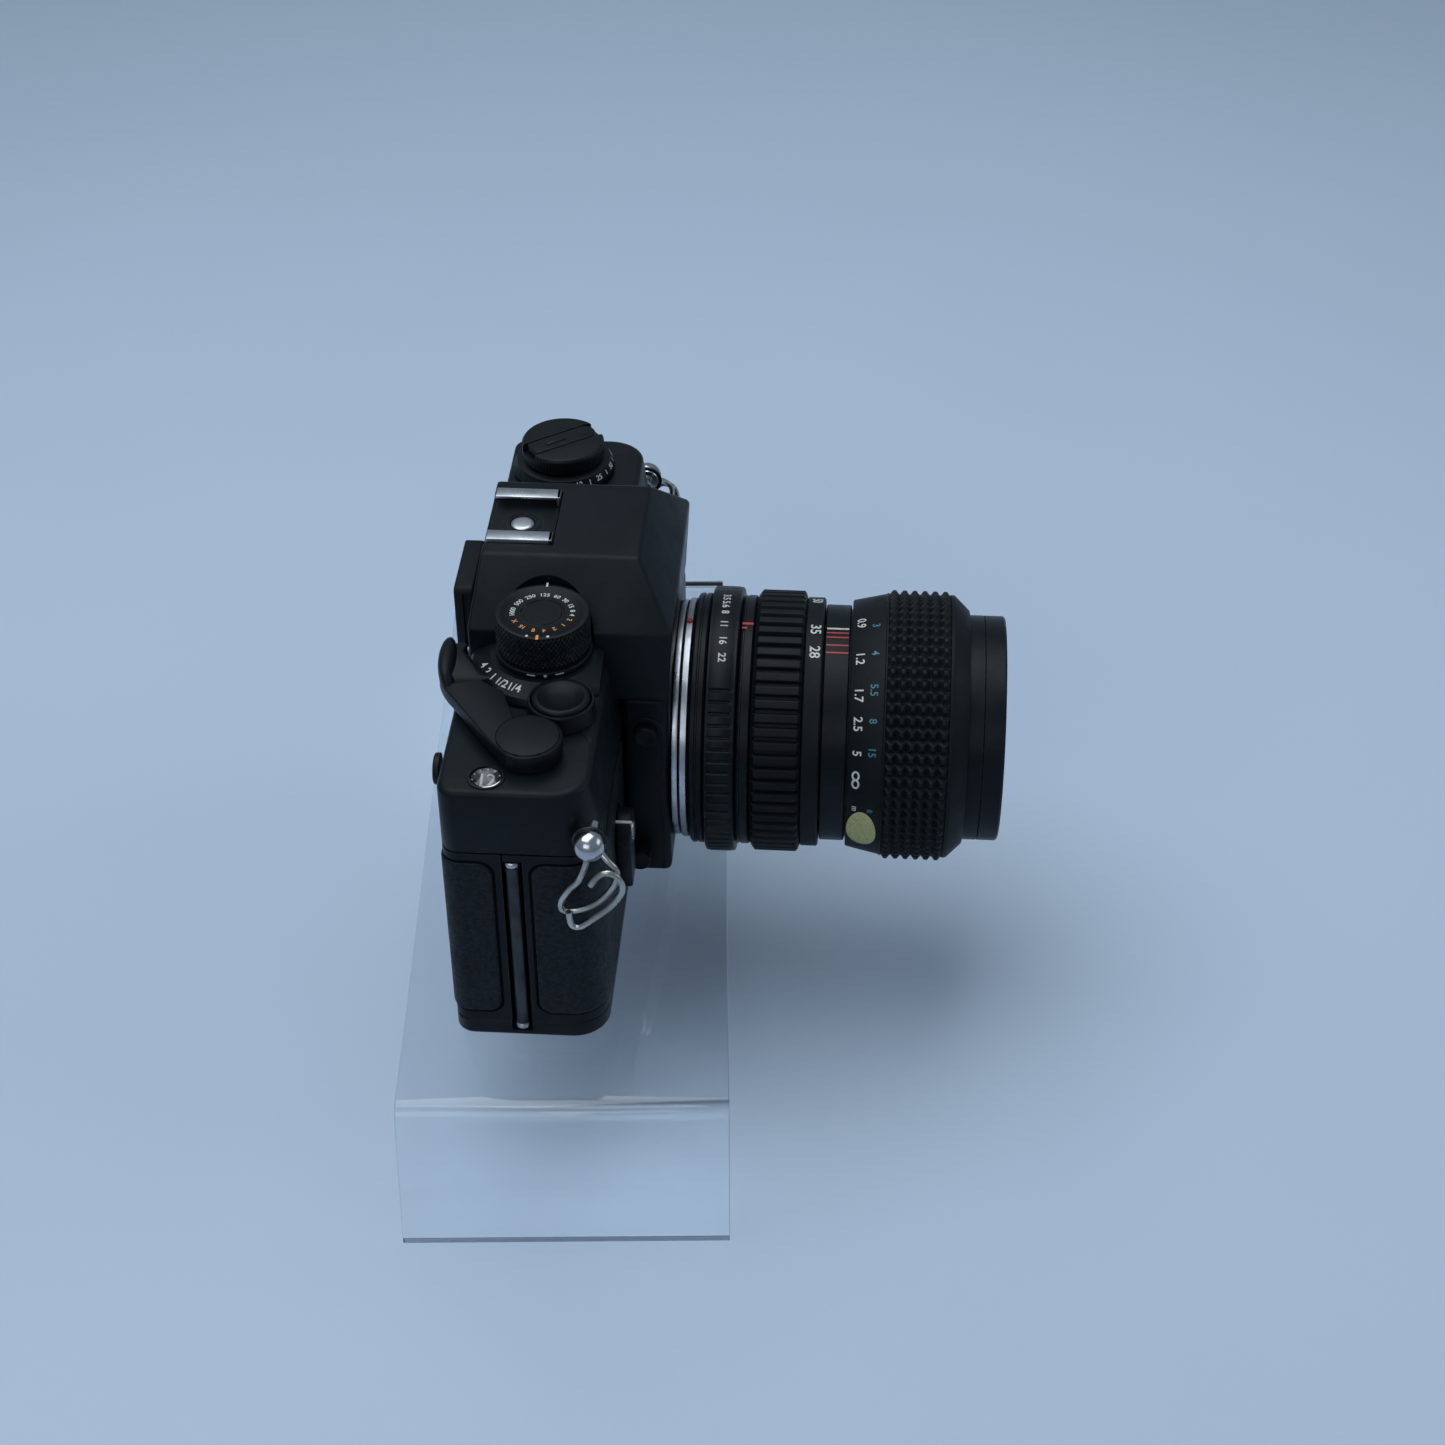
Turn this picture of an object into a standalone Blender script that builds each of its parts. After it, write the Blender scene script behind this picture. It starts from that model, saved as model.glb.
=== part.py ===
"""A 35 mm single-lens reflex camera with a zoom lens, standing on a clear acrylic riser.

All sizes are millimetres and become metres in the helpers. The camera frame has the lens axis
at X = 0, Z = 0. The lens points to -Y, the film back is at +Y, +Z is up, the wind-lever end is
at -X and the rewind end at +X. The finished model is shifted so that its origin lies under the
middle of its bounding box, at the height of the riser's feet.
"""
import math

import bmesh
import bpy
from mathutils import Matrix, Vector

MM = 0.001
GAP = 0.3
SEAM_GAP = 0.3

# Body shell
WIND_END = -75.4
REWIND_END = 65.6
BODY_FRONT = 4.5
BODY_BACK = 39.5
BODY_CORNER = 8.0
BACK_CORNER = 4.0
TOP_SEAM_Z = 20.0
DECK_Z = 37.0
DECK_FRONT = 8.0
DECK_ROUNDING = 1.4
COVER_WALL = 1.6

# Prism housing
PRISM_TOP_Z = 57.0
PRISM_TOP_HALF = 14.7
PRISM_TOP_FRONT = 0.5
PRISM_TOP_BACK = 36.5
PRISM_WAIST_Z = 44.8
PRISM_WAIST_HALF = 27.6
PRISM_NOSE = -7.7
PRISM_WAIST_BACK = 38.6
PRISM_WALL = 1.6

# Front plate and mirror chamber
PLATE_HALF = 27.0
PLATE_FRONT = -6.5
PLATE_BOTTOM_Z = -26.5
PLATE_TOP_Z = 25.7
PLATE_BEVEL = 1.6
THROAT_RADIUS = 22.5
CHAMBER_HALF = 20.3
CHAMBER_LOW_Z = -17.5
CHAMBER_TOP_Z = 16.5
CHAMBER_BACK = 34.4
BOX_WALL = 1.0
MIRROR_LENGTH = 29.0
MIRROR_WIDTH = 34.0
MIRROR_THICKNESS = 1.2
MIRROR_HINGE_Y = 27.0
MIRROR_HINGE_Z = 13.4

# Film path
GATE_WIDTH = 36.0
GATE_HEIGHT = 24.0
FILM_PLANE = 36.3
RAIL_HEIGHT = 1.0
BLADE_HEIGHT = 9.0
BLADE_THICKNESS = 0.5
BLADE_FRONT = 30.9
DOOR_WALL = 2.6
DOOR_END_WALL = 2.4
DOOR_LATCH_WALL = 1.8
DOOR_WRAP_Y = 26.2
DOOR_LATCH_Y = 33.0
HINGE_ROD_INSET = 1.4
HINGE_ROD_Y = 24.0
HINGE_ROD_RADIUS = 1.7
HINGE_ROD_TOP_Z = 17.3
HINGE_CHANNEL_RADIUS = 2.75
SWING_CLEARANCE = 0.1
TAKE_UP_RADIUS = 8.0
TAKE_UP_INSET = 18.0
TAKE_UP_Y = 21.0
SPROCKET_RADIUS = 6.0
SPROCKET_X = -31.5
SPROCKET_Y = 25.5
CASSETTE_WALL = 2.8

# Wind side controls
LEVER_INSET = 13.7
LEVER_Y = 20.8
LEVER_HUB_RADIUS = 7.6
LEVER_LOW_Z = 38.6
LEVER_TOP_Z = 42.5
LEVER_SHAFT_RADIUS = 3.0
DIAL_X = -29.4
DIAL_Y = 21.0
DIAL_RADIUS = 10.7
DIAL_TOP_Z = 52.0
DIAL_LOW_Z = 43.0
DIAL_SHAFT_RADIUS = 2.5
MARK_RING_RIM = 0.3
MARK_RING_HEIGHT = 1.2
DIAL_BASE_RIM = 6.3
RELEASE_LEAN = math.radians(17.9)
HUB_CLEARANCE = 0.2
RELEASE_RADIUS = 6.5
RELEASE_COLLAR_RADIUS = 7.5
RELEASE_TOP_Z = 42.4
RELEASE_COLLAR_TOP_Z = 41.6
RELEASE_TRAVEL = 1.5
COUNTER_INSET = 5.4
COUNTER_Y = 29.0
COUNTER_RADIUS = 3.4
BACK_BUTTON_INSET = 15.4
BACK_BUTTON_Z = 30.7
BACK_BUTTON_RADIUS = 3.65

# Rewind side controls
KNOB_INSET = 14.6
KNOB_Y = 25.7
KNOB_RADIUS = 10.2
KNOB_TOP_Z = 46.0
KNOB_LOW_Z = 41.3
KNOB_SHAFT_RADIUS = 3.0
CRANK_ANGLE = math.radians(-54.5)
CRANK_WIDTH = 5.4
CRANK_LENGTH = 17.6
CRANK_THICKNESS = 1.6
CRANK_HEEL = 1.0
CRANK_KNOB_RADIUS = 2.4
FILM_RING_RADIUS = 12.6

# Front and base controls
TIMER_X = -45.0
TIMER_Z = 2.0
TIMER_RADIUS = 5.2
TIMER_LENGTH = 15.0
TIMER_THICKNESS = 3.6
PREVIEW_Y = -1.2
PREVIEW_Z = 16.6
PREVIEW_RADIUS = 2.65
LENS_LOCK_Y = 0.6
LENS_LOCK_Z = -19.0
LENS_LOCK_RADIUS = 2.6
PIN_RADIUS = 1.5
PIN_CLEARANCE = 0.4
TRIPOD_X = 4.0
TRIPOD_Y = 20.0
TRIPOD_RADIUS = 6.5
TRIPOD_BORE = 3.2
BATTERY_X = -35.0
BATTERY_Y = 22.0
BATTERY_RADIUS = 9.0
UNLOCK_X = -14.0
UNLOCK_Y = 30.0
UNLOCK_RADIUS = 2.5

# Strap fittings
LUG_Y = 6.5
LUG_Z = 25.0
LUG_OUT = 1.6
LUG_HEAD_RADIUS = 3.6
LUG_NECK_RADIUS = 2.2
LUG_NECK_LENGTH = 6.5
LUG_BORE = 1.4
WIRE_RADIUS = 0.75

# Eyepiece and accessory shoe
EYE_HALF = 10.5
EYE_LOW_Z = 26.0
EYE_TOP_Z = 43.5
EYE_BACK = 44.4
EYE_OPENING_HALF = 8.0
EYE_OPENING_HEIGHT = 11.0
SHOE_RAIL_X = 8.7
SHOE_RAIL_WIDTH = 3.6
SHOE_FRONT = 20.8
SHOE_BACK = 36.0
SHOE_TOP_Z = 58.0
SHOE_SEAT_Z = 55.4
CONTACT_RADIUS = 2.7
CONTACT_Y = 28.9

# Lens: distances along the axis are measured forwards from the lens axis origin
MOUNT_START = 8.6
MOUNT_RADIUS = 29.0
CAMERA_MOUNT_RADIUS = 28.5
BARREL_RADIUS = 23.5
BARREL_BORE = BARREL_RADIUS - 3.5
BARREL_FRONT = 60.0
RING_BORE = BARREL_RADIUS + 0.4
BASE_RING = (10.8, 14.2, BARREL_RADIUS + 6.8)
APERTURE_RING = (14.5, 21.6, BARREL_RADIUS + 8.6)
INDEX_RING = (21.9, 24.9, BARREL_RADIUS + 6.65)
ZOOM_RING = (25.2, 41.3, BARREL_RADIUS + 8.1)
ZOOM_GRIP_END = 36.8
NUMBER_RADIUS = BARREL_RADIUS + 6.6
SCALE_RING = (41.6, 47.6, BARREL_RADIUS + 5.0)
FOCUS_RING = (47.9, 75.8, BARREL_RADIUS + 9.0)
FOCUS_CONE_END = 55.9
FOCUS_CONE_START_RADIUS = BARREL_RADIUS + 6.3
FOCUS_GRIP_END = 71.8
FRONT_TUBE_RADIUS = BARREL_RADIUS + 3.6
FRONT_TUBE_BORE = BARREL_RADIUS + 1.0
FRONT_TUBE_START = 62.0
LENS_FRONT = 84.4
FOCUS_STEP = 55.5
REAR_END = 5.0
REAR_GLASS_RADIUS = 15.0
FRONT_GLASS_RADIUS = FRONT_TUBE_BORE - 0.4
ZOOM_GROUP_RADIUS = BARREL_BORE - 0.4
ZOOM_GROUP_START = 24.0
ZOOM_GROUP_END = 44.0

# Riser
RISER_LENGTH = 205.0
RISER_WIDTH = 75.0
RISER_HEIGHT = 36.0
RISER_SHEET = 3.0
RISER_SPLAY = 7.8
RISER_BEND = 5.0
RISER_X = 4.96
RISER_Y = 20.07
RISER_YAW = math.radians(4.09)

ROUND_STEPS = 32
SMALL_STEPS = 14

# The base clears the widest ring near the body, so the camera stands level
BASE_CLEARANCE = 3.4
BASE_Z = -(APERTURE_RING[2] + BASE_CLEARANCE)
BASE_SEAM_Z = BASE_Z + 4.7
HINGE_ROD_LOW_Z = BASE_Z + 2.5

# Places that follow the ends of the body
LEVER_X = WIND_END + LEVER_INSET
COUNTER_X = WIND_END + COUNTER_INSET
BACK_BUTTON_X = WIND_END + BACK_BUTTON_INSET
TAKE_UP_X = WIND_END + TAKE_UP_INSET
HINGE_ROD_X = WIND_END + HINGE_ROD_INSET
KNOB_X = REWIND_END - KNOB_INSET
MARK_RING_RADIUS = DIAL_RADIUS + MARK_RING_RIM
DIAL_BASE_RADIUS = DIAL_RADIUS + DIAL_BASE_RIM
POCKET_RADIUS = MARK_RING_RADIUS + 0.6
PRISM_HOLLOW_HALF = -(DIAL_X + POCKET_RADIUS) - PRISM_WALL
MARK_RING_LOW_Z = DIAL_LOW_Z - GAP - MARK_RING_HEIGHT
DIAL_BASE_TOP_Z = MARK_RING_LOW_Z - GAP
RELEASE_REACH = MARK_RING_RADIUS + RELEASE_COLLAR_RADIUS + GAP + 0.1
RISER_TOP_Z = BASE_Z - GAP
RISER_FOOT_Z = RISER_TOP_Z - RISER_HEIGHT


def riser_reach():
    """Half sizes along X and Y of the turned riser."""
    half_length = RISER_LENGTH / 2 + RISER_SPLAY
    half_width = RISER_WIDTH / 2
    along = half_length * math.cos(RISER_YAW) + half_width * math.sin(RISER_YAW)
    across = half_length * math.sin(RISER_YAW) + half_width * math.cos(RISER_YAW)
    return along, across


def model_shift():
    """Translation from the camera frame to the model's own frame."""
    along, across = riser_reach()
    low_y = min(-LENS_FRONT, RISER_Y - across)
    high_y = RISER_Y + across
    return Vector((-RISER_X, -(low_y + high_y) / 2, -RISER_FOOT_Z))


def release_angle():
    """Direction of the release from the dial. It leans forwards, clear of the lever's hub."""
    across = DIAL_X - LEVER_X
    span = math.hypot(across, DIAL_Y - LEVER_Y)
    clear = LEVER_HUB_RADIUS + RELEASE_COLLAR_RADIUS + HUB_CLEARANCE
    lean = RELEASE_LEAN
    if span < RELEASE_REACH + clear:
        cosine = (span**2 + RELEASE_REACH**2 - clear**2) / (2 * span * RELEASE_REACH)
        lean = max(lean, math.acos(cosine) + math.atan2(DIAL_Y - LEVER_Y, across))
    return math.pi + lean


RELEASE_X = DIAL_X + RELEASE_REACH * math.cos(release_angle())
RELEASE_Y = DIAL_Y + RELEASE_REACH * math.sin(release_angle())
SHIFT = model_shift()
PARTS = None
CUTTERS = None


def clear_scene():
    for thing in list(bpy.data.objects):
        bpy.data.objects.remove(thing, do_unlink=True)


def new_collection(name):
    collection = bpy.data.collections.new(name)
    bpy.context.scene.collection.children.link(collection)
    return collection


def finish_material(name, colour, roughness, metallic, transmission=0.0):
    """A Principled material that belongs to one node."""
    material = bpy.data.materials.new(name + "_finish")
    material.use_nodes = True
    shader = material.node_tree.nodes["Principled BSDF"]
    shader.inputs["Base Color"].default_value = (*colour, 1.0)
    shader.inputs["Roughness"].default_value = roughness
    shader.inputs["Metallic"].default_value = metallic
    shader.inputs["Transmission Weight"].default_value = transmission
    return material


BLACK = ((0.012, 0.016, 0.020), 0.42, 0.0)
RUBBER = ((0.010, 0.012, 0.014), 0.65, 0.0)
LEATHERETTE = ((0.013, 0.017, 0.020), 0.60, 0.0)
CHROME = ((0.62, 0.64, 0.66), 0.25, 1.0)
STEEL = ((0.45, 0.46, 0.48), 0.35, 1.0)
DARK_METAL = ((0.05, 0.055, 0.06), 0.40, 0.8)
GLASS = ((0.85, 0.90, 0.95), 0.03, 0.0, 1.0)


def add_object(name, data, at, finish, parent=None):
    """Link an object at a place in the camera frame. Without a finish it is a cutter."""
    thing = bpy.data.objects.new(name, data)
    thing.location = SHIFT * MM + Vector(at) * MM
    if finish is None:
        CUTTERS.objects.link(thing)
        thing.hide_render = True
        thing.display_type = "WIRE"
        return thing
    PARTS.objects.link(thing)
    data.materials.append(finish_material(name, *finish))
    if parent is not None:
        thing.parent = parent
        thing.location = thing.location - parent.location
    return thing


def pivot(name, at):
    """An empty on a joint's axis, which carries the pieces that move together."""
    empty = bpy.data.objects.new(name, None)
    empty.empty_display_size = 5 * MM
    empty.location = SHIFT * MM + Vector(at) * MM
    PARTS.objects.link(empty)
    return empty


def box(name, low, high, finish=None, at=None, parent=None, bevel=0.0):
    """A block between two corners of the camera frame."""
    low = Vector(low)
    high = Vector(high)
    at = (low + high) / 2 if at is None else Vector(at)
    mesh = bpy.data.meshes.new(name)
    shape = bmesh.new()
    bmesh.ops.create_cube(shape, size=1.0)
    size = (high - low) * MM
    bmesh.ops.scale(shape, vec=size, verts=shape.verts)
    bmesh.ops.translate(shape, vec=((low + high) / 2 - at) * MM, verts=shape.verts)
    shape.to_mesh(mesh)
    shape.free()
    thing = add_object(name, mesh, at, finish, parent)
    if bevel:
        rounding = thing.modifiers.new("rounding", "BEVEL")
        rounding.width = bevel * MM
        rounding.segments = 2
        rounding.limit_method = "ANGLE"
    return thing


def turned(name, profile, at, finish=None, axis="Z", parent=None, steps=ROUND_STEPS, closed=False):
    """A turned shape. The profile is (radius, height) pairs, down the outer side.

    Height runs along +Z, or forwards along -Y for axis "LENS", or along -X or +X.
    """
    mesh = bpy.data.meshes.new(name)
    points = [(radius * MM, 0.0, height * MM) for radius, height in profile]
    edges = [(index, index + 1) for index in range(len(points) - 1)]
    if closed:
        edges.append((len(points) - 1, 0))
    mesh.from_pydata(points, edges, [])
    thing = add_object(name, mesh, at, finish, parent)
    turns = {
        "Z": (0.0, 0.0, 0.0),
        "LENS": (math.pi / 2, 0.0, 0.0),
        "BACK": (-math.pi / 2, 0.0, 0.0),
        "-X": (0.0, -math.pi / 2, 0.0),
        "+X": (0.0, math.pi / 2, 0.0),
    }
    thing.rotation_euler = turns[axis]
    screw = thing.modifiers.new("turning", "SCREW")
    screw.steps = steps
    screw.render_steps = steps
    screw.use_merge_vertices = True
    screw.merge_threshold = 0.00001
    screw.use_smooth_shade = True
    return thing


def disc(radius, low, high):
    """Profile of a plain solid disc."""
    return [(0.0, high), (radius, high), (radius, low), (0.0, low)]


def ring(outer, inner, low, high):
    """Profile of a plain ring."""
    return [(outer, high), (outer, low), (inner, low), (inner, high)]


def rounded(corners, radii, steps=4):
    """A polygon whose corners are arcs. A corner with radius 0 stays sharp."""
    if not isinstance(radii, (list, tuple)):
        radii = [radii] * len(corners)
    points = []
    for index, corner in enumerate(corners):
        here = Vector(corner)
        radius = radii[index]
        if radius == 0:
            points.append(here)
            continue
        behind = (Vector(corners[index - 1]) - here).normalized()
        ahead = (Vector(corners[(index + 1) % len(corners)]) - here).normalized()
        half = behind.angle(ahead) / 2
        centre = here + (behind + ahead).normalized() * radius / math.sin(half)
        start = here + behind * radius / math.tan(half) - centre
        turn = 1 if (-behind).cross(ahead) > 0 else -1
        sweep = turn * (math.pi - 2 * half)
        for step in range(steps + 1):
            points.append(centre + Matrix.Rotation(sweep * step / steps, 2) @ start)
    return points


def mesh_of(curve_object, name):
    """The welded mesh of a filled curve, in place of the curve object."""
    PARTS.objects.link(curve_object)
    bpy.context.view_layer.update()
    graph = bpy.context.evaluated_depsgraph_get()
    mesh = bpy.data.meshes.new_from_object(curve_object.evaluated_get(graph))
    mesh.name = name
    shape = bmesh.new()
    shape.from_mesh(mesh)
    bmesh.ops.remove_doubles(shape, verts=shape.verts, dist=0.000005)
    shape.to_mesh(mesh)
    shape.free()
    bpy.data.objects.remove(curve_object, do_unlink=True)
    return mesh


def plate(name, outline, low, high, at, finish=None, parent=None, turn=(0.0, 0.0, 0.0), bevel=0.0):
    """A flat outline with thickness from low to high along its local Z."""
    curve = bpy.data.curves.new(name, "CURVE")
    curve.dimensions = "2D"
    curve.fill_mode = "BOTH"
    curve.extrude = (high - low) / 2 * MM
    spline = curve.splines.new("POLY")
    spline.points.add(len(outline) - 1)
    for point, (x, y) in zip(spline.points, outline):
        point.co = (x * MM, y * MM, 0.0, 1.0)
    spline.use_cyclic_u = True
    mesh = mesh_of(bpy.data.objects.new(name + "_outline", curve), name)
    mesh.transform(Matrix.Translation((0.0, 0.0, (high + low) / 2 * MM)))
    mesh.materials.clear()
    thing = add_object(name, mesh, at, finish, parent)
    thing.rotation_euler = turn
    if bevel:
        rounding = thing.modifiers.new("rounding", "BEVEL")
        rounding.width = bevel * MM
        rounding.segments = 2
        rounding.limit_method = "ANGLE"
        rounding.angle_limit = math.radians(50)
    return thing


def stack(name, sections, at, finish=None, parent=None):
    """A loft through level sections of equal corner counts, given from bottom to top."""
    mesh = bpy.data.meshes.new(name)
    shape = bmesh.new()
    loops = []
    for height, corners in sections:
        loops.append([shape.verts.new((x * MM, y * MM, height * MM)) for x, y in corners])
    count = len(loops[0])
    shape.faces.new(reversed(loops[0]))
    shape.faces.new(loops[-1])
    for lower, upper in zip(loops, loops[1:]):
        for index in range(count):
            after = (index + 1) % count
            shape.faces.new((lower[index], lower[after], upper[after], upper[index]))
    shape.to_mesh(mesh)
    shape.free()
    return add_object(name, mesh, at, finish, parent)


def cross(half, front, back):
    """Corners of a level rectangle, symmetric about X = 0."""
    return [(-half, front), (half, front), (half, back), (-half, back)]


def wire(name, points, radius, at, finish, parent=None, closed=True):
    """A bent round wire through points of the camera frame."""
    curve = bpy.data.curves.new(name, "CURVE")
    curve.dimensions = "3D"
    curve.bevel_depth = radius * MM
    curve.bevel_resolution = 2
    curve.use_fill_caps = not closed
    spline = curve.splines.new("POLY")
    spline.points.add(len(points) - 1)
    for point, place in zip(spline.points, points):
        point.co = (*((Vector(place) - Vector(at)) * MM), 1.0)
    spline.use_cyclic_u = closed
    return add_object(name, curve, at, finish, parent)


def combine(thing, other, operation):
    """Cut another solid out of a thing, or join it on. The other one becomes a cutter."""
    boolean = thing.modifiers.new(operation.lower(), "BOOLEAN")
    boolean.operation = operation
    boolean.solver = "EXACT"
    boolean.object = other
    return thing


def cut(thing, *cutters):
    for cutter in cutters:
        combine(thing, cutter, "DIFFERENCE")
    return thing


def body_outline(front, back, inset=0.0):
    """Plan of the body between its two ends."""
    corners = [
        (WIND_END + inset, front + inset),
        (REWIND_END - inset, front + inset),
        (REWIND_END - inset, back - inset),
        (WIND_END + inset, back - inset),
    ]
    return rounded(corners, [BODY_CORNER, BODY_CORNER, BACK_CORNER, BACK_CORNER])


HERE = (0.0, 0.0, 0.0)


def make_riser():
    """A bent acrylic sheet: a top plate with two legs that lean outwards."""
    half = RISER_LENGTH / 2
    foot = half + RISER_SPLAY
    lean = math.atan2(RISER_SPLAY, RISER_HEIGHT)
    slope_inset = RISER_SHEET / math.cos(lean)
    under = RISER_SHEET
    inner_half = half - slope_inset + under * math.tan(lean)
    corners = [
        (-foot, 0.0),
        (-foot + slope_inset, 0.0),
        (-inner_half, RISER_HEIGHT - under),
        (inner_half, RISER_HEIGHT - under),
        (foot - slope_inset, 0.0),
        (foot, 0.0),
        (half, RISER_HEIGHT),
        (-half, RISER_HEIGHT),
    ]
    inner_bend = max(RISER_BEND - RISER_SHEET, 1.0)
    radii = [0, 0, inner_bend, inner_bend, 0, 0, RISER_BEND, RISER_BEND]
    outline = rounded(corners, radii, steps=5)
    plate("acrylic_riser", outline, -RISER_WIDTH / 2, RISER_WIDTH / 2,
          (RISER_X, RISER_Y, RISER_FOOT_Z), GLASS, turn=(math.pi / 2, 0.0, RISER_YAW))


def deck_hole(name, x, y, radius):
    """A round cutter through the top deck and the floor under it."""
    return turned(name, disc(radius, TOP_SEAM_Z - 9, DECK_Z + 25), (x, y, 0.0), steps=SMALL_STEPS)


def make_top_cover():
    """The deck with the prism housing, one hollow cover open below."""
    cover = stack("top_cover", [
        (TOP_SEAM_Z, body_outline(BODY_FRONT, BODY_BACK)),
        (DECK_Z - DECK_ROUNDING, body_outline(DECK_FRONT - 0.6, BODY_BACK)),
        (DECK_Z, body_outline(DECK_FRONT, BODY_BACK, inset=DECK_ROUNDING / 2)),
    ], HERE, BLACK)
    low = PLATE_TOP_Z + SEAM_GAP
    hump = stack("prism_hump", [
        (low, cross(PRISM_WAIST_HALF, PLATE_FRONT, PRISM_WAIST_BACK)),
        (PRISM_WAIST_Z, cross(PRISM_WAIST_HALF, PRISM_NOSE, PRISM_WAIST_BACK)),
        (PRISM_TOP_Z, cross(PRISM_TOP_HALF, PRISM_TOP_FRONT, PRISM_TOP_BACK)),
    ], HERE)
    combine(cover, hump, "UNION")
    wall = PRISM_WALL
    hollow = stack("prism_hollow", [
        (TOP_SEAM_Z - 2, cross(PRISM_HOLLOW_HALF, BODY_FRONT - 2, PRISM_WAIST_BACK - 3)),
        (PRISM_WAIST_Z - wall, cross(PRISM_HOLLOW_HALF, PRISM_NOSE + 4, PRISM_WAIST_BACK - 3)),
        (SHOE_SEAT_Z - wall, cross(PRISM_TOP_HALF - 4, PRISM_TOP_FRONT + 3, PRISM_TOP_BACK - 3)),
    ], HERE)
    ceiling = DECK_Z - COVER_WALL
    side = PRISM_WAIST_HALF + COVER_WALL
    wind_room = box("wind_room", (WIND_END + BODY_CORNER, DECK_FRONT + 3, TOP_SEAM_Z - 2),
                    (-side, BODY_BACK - 3, ceiling))
    rewind_room = box("rewind_room", (side, DECK_FRONT + 3, TOP_SEAM_Z - 2),
                      (REWIND_END - 4, BODY_BACK - 3, ceiling))
    pocket = turned("dial_pocket", disc(POCKET_RADIUS, DIAL_BASE_TOP_Z, DIAL_TOP_Z + 9),
                    (DIAL_X, DIAL_Y, 0.0), steps=ROUND_STEPS)
    eye_tunnel = box("eye_tunnel", (-EYE_OPENING_HALF, PRISM_TOP_BACK - 10, EYE_LOW_Z + 3.5),
                     (EYE_OPENING_HALF, EYE_BACK + 5, EYE_TOP_Z - 3.5))
    shoe_seat = box("shoe_recess", (-SHOE_RAIL_X - SHOE_RAIL_WIDTH / 2 - GAP, SHOE_FRONT - GAP,
                                    SHOE_SEAT_Z - 0.9),
                    (SHOE_RAIL_X + SHOE_RAIL_WIDTH / 2 + GAP, BODY_BACK, PRISM_TOP_Z + 5))
    cut(cover, hollow, wind_room, rewind_room, pocket, eye_tunnel, shoe_seat)
    cut(cover, deck_hole("lever_hole", LEVER_X, LEVER_Y, LEVER_SHAFT_RADIUS + PIN_CLEARANCE))
    cut(cover, deck_hole("dial_hole", DIAL_X, DIAL_Y, DIAL_SHAFT_RADIUS + PIN_CLEARANCE))
    cut(cover, deck_hole("release_hole", RELEASE_X, RELEASE_Y, PIN_RADIUS + PIN_CLEARANCE))
    cut(cover, deck_hole("knob_hole", KNOB_X, KNOB_Y, KNOB_SHAFT_RADIUS + PIN_CLEARANCE))
    cut(cover, deck_hole("counter_hole", COUNTER_X, COUNTER_Y, COUNTER_RADIUS + GAP))
    back_hole = turned("back_button_hole", disc(PIN_RADIUS + PIN_CLEARANCE, -6.0, 3.0),
                       (BACK_BUTTON_X, BODY_BACK, BACK_BUTTON_Z), axis="BACK", steps=SMALL_STEPS)
    cut(cover, back_hole)
    for name, x in (("wind_lug_hole", WIND_END), ("rewind_lug_hole", REWIND_END)):
        cut(cover, turned(name, disc(LUG_NECK_RADIUS + GAP, -LUG_NECK_LENGTH - GAP, 6.0),
                          (x, LUG_Y, LUG_Z), axis="-X" if x < 0 else "+X", steps=SMALL_STEPS))


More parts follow.
